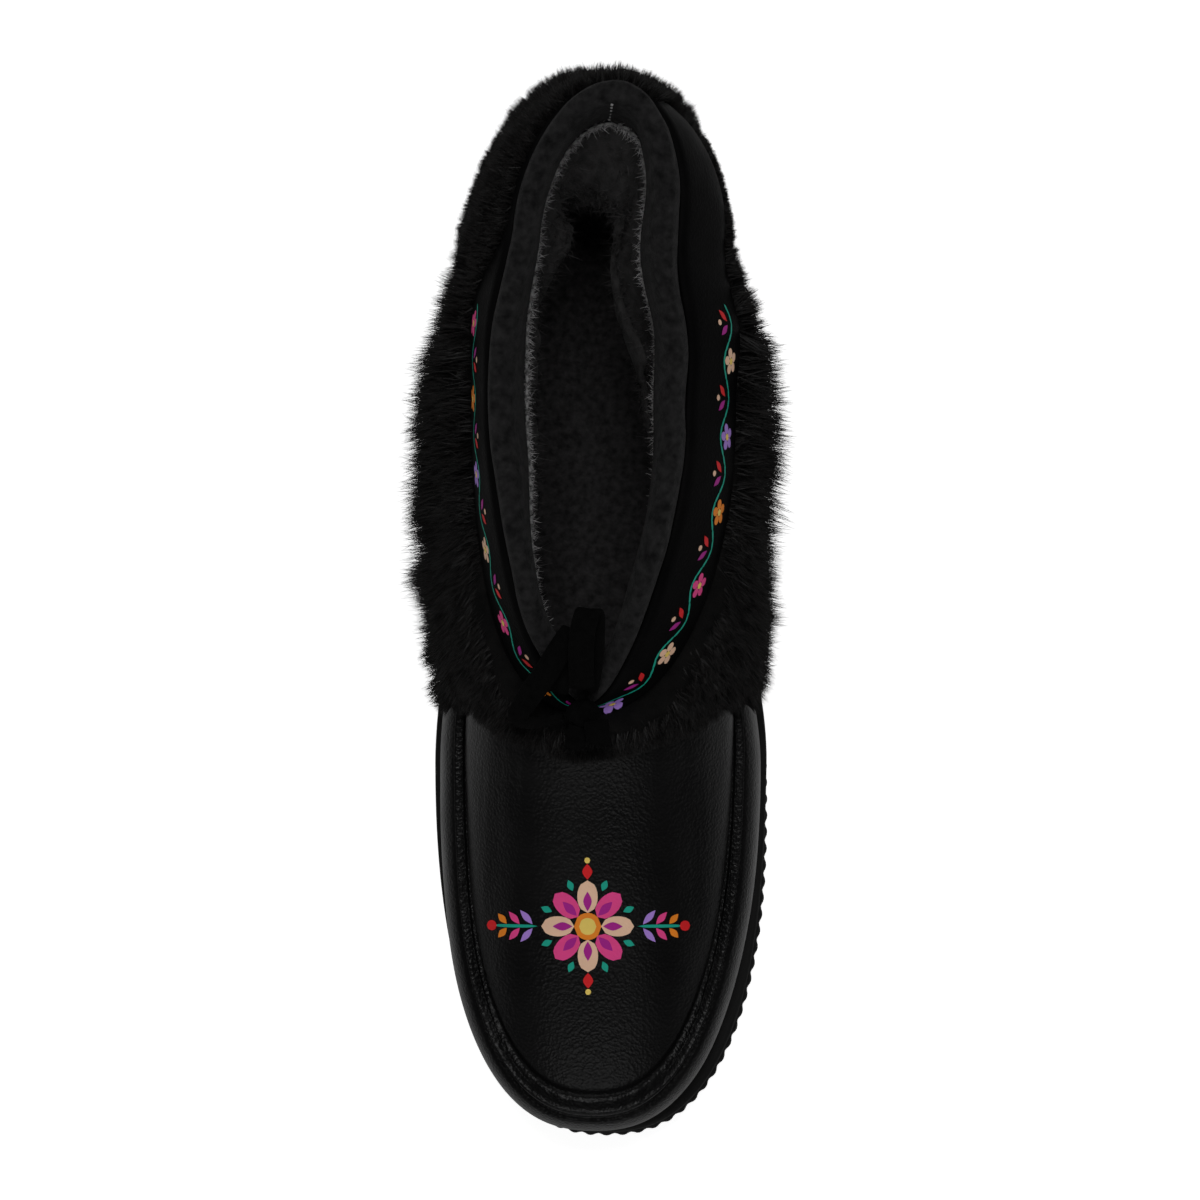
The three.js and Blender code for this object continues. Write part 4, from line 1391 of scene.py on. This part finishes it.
    def pile(self) -> bpy.types.Object:
        """Builds the lining's short curled pile, where it can be seen through the opening."""
        chance = np.random.default_rng(5)
        count = self.pile_count
        girths, turns = paced(7.0, -6.0)
        turn = np.interp(chance.uniform(0, girths[-1], count), girths, turns)
        level = chance.uniform(*self.pile_levels, count)
        root = self.lining_point(turn, level, self.lining_out(turn, level) - 0.8)
        around, up = LAST.tangents(turn, level)
        aim = unit(chance.normal(0, 0.7, (count, 3)) - np.cross(around, up))
        length = chance.uniform(1.4, 3.0, (count, 1))
        curl = chance.normal(0, 0.6, (count, 3))
        spine = [root, root + aim * length * 0.6, root + (aim + curl) * length]
        side = across_strands(aim, chance) * 0.14
        return strands("lining_pile", spine, side, chance.uniform(0, 0.8, count), (1.0, 0.8))

    def fringe(self) -> bpy.types.Object:
        """Builds the pale fleece that shows along the facing's inner edge and widens at the throat."""
        chance = np.random.default_rng(8)
        count = self.fleece_count
        level = Level.BAND_MIDDLE + 0.02
        girths, turns = paced(level, -4.0)
        turn = np.interp(chance.uniform(0, girths[-1], count), girths, turns)
        spread = through(self.fleece_width, LAST.station(turn))
        down = np.abs(chance.normal(0, 0.5, count)) * spread - 0.3
        spot = np.full_like(turn, level)
        low = spot - down * levels_per_mm(turn, spot)
        edge = WALL + GAP + self.binding + 0.4
        depth = np.maximum(edge + self.lean(turn), self.lining_out(turn, low))
        root = self.lining_point(turn, low, depth)
        around, up = LAST.tangents(turn, low)
        aim = unit(chance.normal(0, 0.75, (count, 3)) - np.cross(around, up) * 0.8 + up * 0.3)
        length = chance.uniform(0.8, 1.9, (count, 1))
        curl = chance.normal(0, 0.5, (count, 3))
        spine = [root, root + aim * length * 0.6, root + (aim + curl) * length]
        side = across_strands(aim, chance) * 0.12
        tone = np.clip(chance.normal(0.6, 0.35, count), 0, 1)
        return strands("fleece_edge", spine, side, tone, (1.0, 0.8))

    def build(self) -> None:
        """Makes the collar's pieces."""
        dress(self.band(), BAND_LEATHER.material(), "collar_band", "collar_band")
        dress(self.facing(), NAPPED.material(), "collar_facing", "collar_facing")
        dress(self.stitches(), THREAD.material(), "collar_facing")
        dress(self.lining(), PLUSH.material(), "insole")
        dress(self.pile(), PILE.material(), "insole")
        dress(self.fringe(), FLEECE.material(), "insole")
        log.info("collar: band, facing, stitches, lining and fleece")


@dataclass
class Footbed:
    """The plush footbed, dished for the foot."""

    inset: float = 8.2
    thickness: float = 5.5

    def build(self) -> None:
        """Makes the footbed."""

        def place(u: np.ndarray, v: np.ndarray) -> np.ndarray:
            """Spreads the columns u over the footbed's width at the share v of its length."""
            foot = LAST.foot
            half = math.pi * (0.002 + 0.996 * v)
            left = foot.point(half, self.inset, LAST.upper_shift)
            right = foot.point(FULL_TURN - half, self.inset, LAST.upper_shift)
            plan = mix(left, right, (1 - u)[:, None])
            at = LAST.station_of_y(plan[:, 1])
            rim = np.abs(2 * u - 1) ** 4
            z = LAST.sole_top(at) + GAP + self.thickness - 1.4 * (1 - rim)
            point = np.concatenate([plan, z[:, None]], axis=-1)
            point[:, 2] += 0.5 * rough(point, 4.5) + 0.3 * rough(point + 17, 2.2)
            return point

        bed = woven("plush_footbed", 34, 130, place)
        turn_faces(bed, up=True)
        dress(thicken(bed, self.thickness - 1.6), FOOT_PLUSH.material(), "insole", "insole")
        log.info("footbed: 1 piece")


@dataclass(frozen=True)
class Coat:
    """One coat of the fur: its strands' number, bends, half widths, length, pull to the tuft and tones."""

    name: str
    count: int
    bends: int
    half_width: tuple[float, float]
    length: float
    pull: float
    tones: tuple[float, float]


@dataclass
class FurCuff:
    """The deep fur round the ankle: a dark base, an undercoat and long strands gathered in tufts.

    Its rows go by station: the hem's level, how far the longest strands reach on either side of the foot
    and the share of the greatest depth. The section's rows go by the share of the way up the cuff.
    """

    depth: float = 13.0
    seed: int = 11
    tufts: int = 3400
    tuft_spread: float = 1.3
    root_share: float = 0.45
    crest_count: int = 14000
    crest_turns: tuple[float, float] = (-0.35, 1.5)
    crest_levels: tuple[float, float] = (6.75, 7.7)
    crest_length: tuple[float, float] = (2.6, 4.6)
    crest_half_width: tuple[float, float] = (0.11, 0.17)
    coats: tuple[Coat, ...] = (
        Coat("fur_coat_1", 38000, 3, (0.09, 0.13), 1.0, 0.5, (0.25, 0.75)),
        Coat("fur_coat_2", 38000, 3, (0.09, 0.13), 1.0, 0.5, (0.25, 0.75)),
        Coat("under_coat_1", 38000, 2, (0.13, 0.19), 0.84, 0.25, (0.1, 0.55)),
        Coat("under_coat_2", 38000, 2, (0.13, 0.19), 0.84, 0.25, (0.1, 0.55)),
    )
    hem: Rows = (
        (0, 2), (0.35, 1.7), (0.54, 1.7), (0.58, 2.4), (0.62, 3.5), (0.7, 4.6), (0.8, 5.35),
        (0.9, 5.9), (1, 6.4),
    )
    reach_outer: Rows = (
        (0, 2.4), (0.06, 1.6), (0.13, 2.4), (0.22, 3.8), (0.28, 4.0), (0.33, 5.4), (0.38, 7.0),
        (0.46, 7.0), (0.5, 3.0), (0.55, 1.2), (1, 1.2),
    )
    reach_inner: Rows = (
        (0, 2.4), (0.03, 2.4), (0.07, 0.1), (0.13, 0.0), (0.2, 0.4), (0.27, 0.9), (0.32, 2.0),
        (0.37, 4.4), (0.42, 7.0), (0.48, 7.0), (0.52, 3.6), (0.56, 1.4), (1, 1.2),
    )
    share: Rows = (
        (0, 0.62), (0.06, 0.4), (0.18, 0.4), (0.3, 0.78), (0.44, 1), (0.54, 0.9), (0.64, 0.72),
        (0.8, 0.74), (1, 0.82),
    )
    section: Rows = ((0, 0.22), (0.12, 0.62), (0.35, 1), (0.6, 1), (0.82, 0.78), (0.95, 0.42), (1, 0.16))

    def level(self, turn: np.ndarray, share: np.ndarray) -> np.ndarray:
        """The upper's level at a share of the way up the cuff."""
        return mix(through(self.hem, LAST.station(turn)), Level.FUR_TOP, share)

    def fullness(self, turn: np.ndarray) -> np.ndarray:
        """The cuff's greatest thickness at each turn."""
        return self.depth * through(self.share, LAST.station(turn))

    def base(self) -> bpy.types.Object:
        """Builds the dark base under the strands."""

        def place(u: np.ndarray, v: np.ndarray) -> np.ndarray:
            """Points of the base at the shares u round and v up."""
            turn = u * FULL_TURN
            out = GAP + 0.55 * self.fullness(turn) * through(self.section, v)
            bare = LAST.face(turn, self.level(turn, v))
            return LAST.off(turn, self.level(turn, v), out + 0.6 * rough(bare, 5))

        return thicken(woven("fur_base", 180, 22, place), 1.0)

    def coat(self, coat: Coat, seed: int) -> bpy.types.Object:
        """Builds one coat of strands, gathered in tufts.

        Args:
            coat: The coat.
            seed: The seed of its strands' places.

        Returns:
            The object.
        """
        tufted = np.random.default_rng(self.seed)
        girths, turns = paced(self.level(np.linspace(0, FULL_TURN, TURN_STEPS), 0.5), 8.0)
        tuft_along = tufted.uniform(0, girths[-1], self.tufts)
        tuft_share = tufted.uniform(-0.02, 1.0, self.tufts)
        tuft_lean = tufted.normal(0, 0.20, (self.tufts, 3))
        tuft_long = tufted.uniform(0.78, 1.12, self.tufts)
        chance = np.random.default_rng(seed)
        count = coat.count
        tuft = chance.integers(0, self.tufts, count)
        along = tuft_along[tuft] + chance.normal(0, self.tuft_spread, count)
        share = np.clip(tuft_share[tuft] + chance.normal(0, 0.03, count), 0, 1)
        turn = np.interp(np.mod(along, girths[-1]), girths, turns)
        station = LAST.station(turn)
        share = mix(0.15 * bump((station - 0.66) / 0.13), 1, share)
        level = self.level(turn, share)
        full, section = self.fullness(turn), through(self.section, share)
        root = LAST.off(turn, level, GAP + self.root_share * full * section)
        around, up = LAST.tangents(turn, level)
        out = unit(np.cross(around, up))
        front = smooth((station - 0.6) / 0.22)[:, None]
        crest = smooth((share - 0.7) / 0.3)[:, None]
        rising = mix(-0.55, -0.05, smooth((station - 0.15) / 0.25))[:, None]
        comb = out * mix(0.95, 0.5, front) - up * mix(mix(0.35, rising, crest), 0.85, front)
        aim = unit(comb + tuft_lean[tuft] + chance.normal(0, 0.09, (count, 3)))
        outer, inner = through(self.reach_outer, station), through(self.reach_inner, station)
        reach = np.where(np.sin(turn) > 0, outer, inner)
        length = 0.62 * full * (0.45 + 0.55 * section) * mix(1, 0.72, front[:, 0]) + reach
        length = length * coat.length * tuft_long[tuft] * chance.uniform(0.8, 1.1, count)
        long = length[:, None]
        core_turn = np.interp(np.mod(tuft_along, girths[-1]), girths, turns)[tuft]
        core_share = np.clip(tuft_share[tuft], 0, 1)
        core_out = GAP + self.root_share * self.fullness(core_turn) * through(self.section, core_share)
        core = LAST.off(core_turn, self.level(core_turn, core_share), core_out)
        pull = (core - root) * coat.pull
        spine = [
            root + aim * long * step + pull * step**1.3 + DOWN * long * 0.14 * step**2.5
            for step in np.linspace(0, 1, coat.bends + 1)
        ]
        side = across_strands(aim, chance) * chance.uniform(*coat.half_width, count)[:, None]
        tone = np.clip(chance.uniform(*coat.tones, count) + tufted.normal(0, 0.08, self.tufts)[tuft], 0, 1)
        return strands(coat.name, spine, side, tone, (1.0, 0.9, 0.6)[: coat.bends])

    def crest(self) -> bpy.types.Object:
        """Builds the fur that stands up over the band, round the heel and along its outer side."""
        chance = np.random.default_rng(21)
        count = self.crest_count
        girths, turns = paced(7.2, 3.0)
        turn = chance.uniform(*self.crest_turns, count)
        along = np.interp(np.mod(turn, FULL_TURN), turns, girths)
        tuft = np.stack([np.round(along / 1.7), chance.integers(0, 5, count)], axis=-1)
        share = np.clip(chance.uniform(0, 1, count) ** 0.8 - smooth((turn - 0.95) / 0.55), 0, 1)
        level = mix(*self.crest_levels, share)
        around, up = LAST.tangents(turn, level)
        out = unit(np.cross(around, up))
        root = LAST.off(turn, level, GAP + 1.0 + 0.9 * bump((share - 0.5) / 0.5))
        lean = 0.3 * np.sin(tuft @ np.array([2.1, 1.3]))[:, None]
        aim = unit(out * 0.8 + up * 0.35 + around * lean + chance.normal(0, 0.16, (count, 3)))
        long = chance.uniform(*self.crest_length, (count, 1))
        spine = [root + aim * long * step + DOWN * long * 0.3 * step**2.5 for step in (0, 0.5, 1)]
        side = across_strands(aim, chance) * chance.uniform(*self.crest_half_width, (count, 1))
        return strands("fur_crest", spine, side, chance.uniform(0.15, 0.7, count), (1.0, 0.9))

    def build(self) -> None:
        """Makes the base and its coats."""
        dress(self.base(), UNDERFUR.material(), "fur_cuff", "fur_cuff")
        dress(self.crest(), FUR.material(), "fur_cuff")
        for seed, coat in enumerate(self.coats, start=1):
            dress(self.coat(coat, seed), FUR.material(), "fur_cuff", "fur_cuff")
        log.info("fur: %d strands", self.crest_count + sum(coat.count for coat in self.coats))


class Leaf(Enum):
    """How a printed motif narrows towards its ends."""

    ROUND = (2.0, 0.5)
    POINTED = (1.6, 1.0)
    BLUNT = (4.0, 0.6)


@dataclass(frozen=True)
class Motif:
    """One printed shape on a flat sheet: its middle, direction, size, form, colour and layer."""

    x: float
    y: float
    angle: float
    length: float
    width: float
    form: Leaf
    ink: Ink
    layer: int = 0

    @classmethod
    def spoke(cls, x: float, y: float, away: float, angle: float, *look: float | Leaf | Ink) -> "Motif":
        """A motif at a distance from a middle, pointing away from it.

        Args:
            x: The middle's place along the sheet.
            y: The middle's place across it.
            away: How far from the middle the motif lies.
            angle: The direction in which it lies and points.
            look: Its length, width, form, colour and layer.

        Returns:
            The motif.
        """
        return cls(x + away * math.cos(angle), y + away * math.sin(angle), angle, *look)


@dataclass
class Print:
    """A sheet of printed motifs laid on the leather."""

    name: str
    motifs: list[Motif]
    slot: str
    lift: float = 0.10
    layer_lift: float = 0.035

    def build(self, lay: Callable[[np.ndarray, np.ndarray], np.ndarray]) -> bpy.types.Object:
        """Draws the motifs as thin shapes and lays them on a surface.

        Args:
            lay: Gives points in millimetres for flat places and their lifts.

        Returns:
            The piece.
        """
        inks = sorted({motif.ink for motif in self.motifs}, key=lambda ink: ink.name)
        bm = bmesh.new()
        for motif in self.motifs:
            made = bmesh.ops.create_grid(bm, x_segments=8, y_segments=4, size=1)["verts"]
            flat = np.array([vert.co[:2] for vert in made])
            power, root = motif.form.value
            narrow = np.maximum(0, 1 - np.abs(flat[:, 0]) ** power) ** root
            along = flat[:, 0] * motif.length / 2
            across = flat[:, 1] * narrow * motif.width / 2
            cos, sin = math.cos(motif.angle), math.sin(motif.angle)
            places = np.stack(
                [motif.x + along * cos - across * sin, motif.y + along * sin + across * cos], axis=-1
            )
            lifts = np.full(len(places), self.lift + self.layer_lift * motif.layer)
            for vert, point in zip(made, to_frame(lay(places, lifts))):
                vert.co = point
            faces = {face for vert in made for face in vert.link_faces}
            for face in faces:
                face.material_index = inks.index(motif.ink)
        bmesh.ops.remove_doubles(bm, verts=bm.verts, dist=0.000004)
        piece = object_of(self.name, bm)
        for ink in inks:
            piece.data.materials.append(ink.material())
        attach(piece, BODY)
        return piece


@dataclass
class Artwork:
    """A generic rosette with two sprigs on the apron and a generic garland round the band."""

    rosette_at: tuple[float, float] = (-2.6, -84.0)
    petals: int = 8
    garland_pitch: float = 15.5
    garland_wave: float = 1.7
    garland_back: float = 73.0
    garland_scale: float = 1.2
    stem_pieces: int = 8
    bloom_petals: int = 5
    blooms: tuple[Ink, ...] = (Ink.PINK, Ink.ORANGE, Ink.LAVENDER, Ink.CREAM)

    def rosette(self) -> list[Motif]:
        """The apron's motifs, drawn flat around the middle of the apron."""
        x, y = self.rosette_at
        motifs = []
        for k in range(self.petals):
            angle = FULL_TURN * k / self.petals
            between = angle + math.pi / self.petals
            petal = Ink.PINK if k % 2 else Ink.CREAM
            motifs += [
                Motif.spoke(x, y, 7.6, angle, 8.4, 5.2, Leaf.ROUND, petal, 1),
                Motif.spoke(x, y, 6.4, angle, 5.0, 2.2, Leaf.POINTED, Ink.MAGENTA, 2),
                Motif.spoke(x, y, 11.3, between, 3.0, 1.7, Leaf.POINTED, Ink.TEAL, 0),
            ]
        motifs.append(Motif(x, y, 0, 7.0, 7.0, Leaf.ROUND, Ink.ORANGE, 3))
        motifs.append(Motif(x, y, 0, 4.4, 4.4, Leaf.ROUND, Ink.YELLOW, 4))
        for side in (-1, 1):
            motifs.append(Motif(x + side * 18.5, y, 0, 11.5, 0.8, Leaf.BLUNT, Ink.TEAL, 0))
            for step, (ink, size) in enumerate(((Ink.LAVENDER, 4.8), (Ink.PINK, 4.2), (Ink.ORANGE, 3.4))):
                for lean in (-1, 1):
                    motifs.append(
                        Motif(x + side * (15.6 + 3.1 * step), y + lean * (2.3 - 0.25 * step),
                              side * lean * 0.85, size, 1.7, Leaf.POINTED, ink, 1)
                    )
            motifs.append(Motif(x + side * 24.6, y, 0, 2.6, 2.6, Leaf.ROUND, Ink.RED, 1))
            motifs.append(Motif(x, y + side * 14.0, math.pi / 2, 4.0, 2.6, Leaf.POINTED, Ink.RED, 1))
            motifs.append(Motif(x, y + side * 16.9, 0, 1.5, 1.5, Leaf.ROUND, Ink.YELLOW, 1))
        return motifs

    def garland(self, girth: float) -> list[Motif]:
        """The motifs along a wavy stem, from one side of the heel round the front to the other.

        Args:
            girth: The garland's length in millimetres.

        Returns:
            Motifs at (distance round, height off the band's middle).
        """
        repeats = round(girth / self.garland_pitch)
        pitch = girth / repeats
        stem = pitch / self.stem_pieces
        motifs = []
        for k in range(repeats):
            start = k * pitch
            for piece in range(self.stem_pieces):
                here = start + pitch * (piece + 0.5) / self.stem_pieces
                phase = FULL_TURN * (here / pitch)
                y = self.garland_wave * math.sin(phase)
                slope = math.atan(self.garland_wave * FULL_TURN / pitch * math.cos(phase))
                motifs.append(Motif(here, y, slope, stem * 1.35, 0.6, Leaf.BLUNT, Ink.TEAL, 0))
            crest, trough = start + pitch * 0.25, start + pitch * 0.75
            bloom = self.blooms[k % len(self.blooms)]
            for petal in range(self.bloom_petals):
                angle = FULL_TURN * petal / self.bloom_petals + 0.3
                motifs.append(Motif.spoke(crest, -1.4, 1.75, angle, 2.3, 1.9, Leaf.ROUND, bloom, 1))
            motifs.append(Motif(crest, -1.4, 0, 1.5, 1.5, Leaf.ROUND, Ink.YELLOW, 2))
            for lean, ink in ((-0.7, Ink.MAGENTA), (0.7, Ink.RED)):
                motifs.append(
                    Motif(trough + 2.2 * lean, 1.6, math.pi / 2 - lean, 3.6, 1.4, Leaf.POINTED, ink, 1)
                )
            motifs.append(Motif(trough, 3.3, 0, 1.3, 1.3, Leaf.ROUND, Ink.CREAM, 1))
        return motifs

    def build(self, upper: bpy.types.Object, collar: Collar) -> None:
        """Lays the rosette on the apron and the garland on the band.

        Args:
            upper: The leather upper.
            collar: The collar, for its band's face.
        """
        bm = bmesh.new()
        bm.from_mesh(upper.data)
        tree = BVHTree.FromBMesh(bm)
        bm.free()

        def on_apron(places: np.ndarray, lifts: np.ndarray) -> np.ndarray:
            """Drops flat places onto the apron from above."""
            found = []
            for (x, y), lift in zip(places, lifts):
                start = Vector(to_frame((x, y, 200)))
                spot, normal, _, _ = tree.ray_cast(start, Vector((0, 0, -1)))
                found.append(to_shape(spot) + np.array(normal) * lift)
            return np.array(found)

        Print("apron_rosette", self.rosette(), "upper").build(on_apron)

        def middle(turn: np.ndarray) -> np.ndarray:
            """The garland's level, a little higher on the outer side."""
            share = mix(0.38, 0.5, smooth(0.5 + 1.5 * np.sin(turn)))
            return mix(Level.BAND_LOW, Level.BAND_HIGH, share)

        girths, turns = paced(middle(np.linspace(0, FULL_TURN, TURN_STEPS)), 2.6)
        front = LAST.face(turns, middle(turns))[:, 1] < self.garland_back
        start, end = girths[front][0], girths[front][-1]

        def on_band(places: np.ndarray, lifts: np.ndarray) -> np.ndarray:
            """Wraps flat places round the band."""
            turn = np.interp(start + self.garland_scale * places[:, 0], girths, turns)
            level = middle(turn) + self.garland_scale * places[:, 1] * levels_per_mm(turn, middle(turn))
            return LAST.off(turn, level, collar.band_out(level) + lifts + collar.band_waver(turn, level))

        garland = self.garland((end - start) / self.garland_scale)
        Print("band_garland", garland, "collar_band").build(on_band)
        log.info("artwork: rosette and garland")


def main() -> None:
    """Builds the boot piece by piece and reports each one."""
    logging.basicConfig(level=logging.INFO, format="%(name)s: %(message)s")
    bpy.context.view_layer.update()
    Studio().build()
    Bow().build()
    Outsole().build()
    upper = Upper().build()
    Footbed().build()
    collar = Collar()
    collar.build()
    Artwork().build(upper, collar)
    FurCuff().build()


if __name__ == "__main__":
    main()
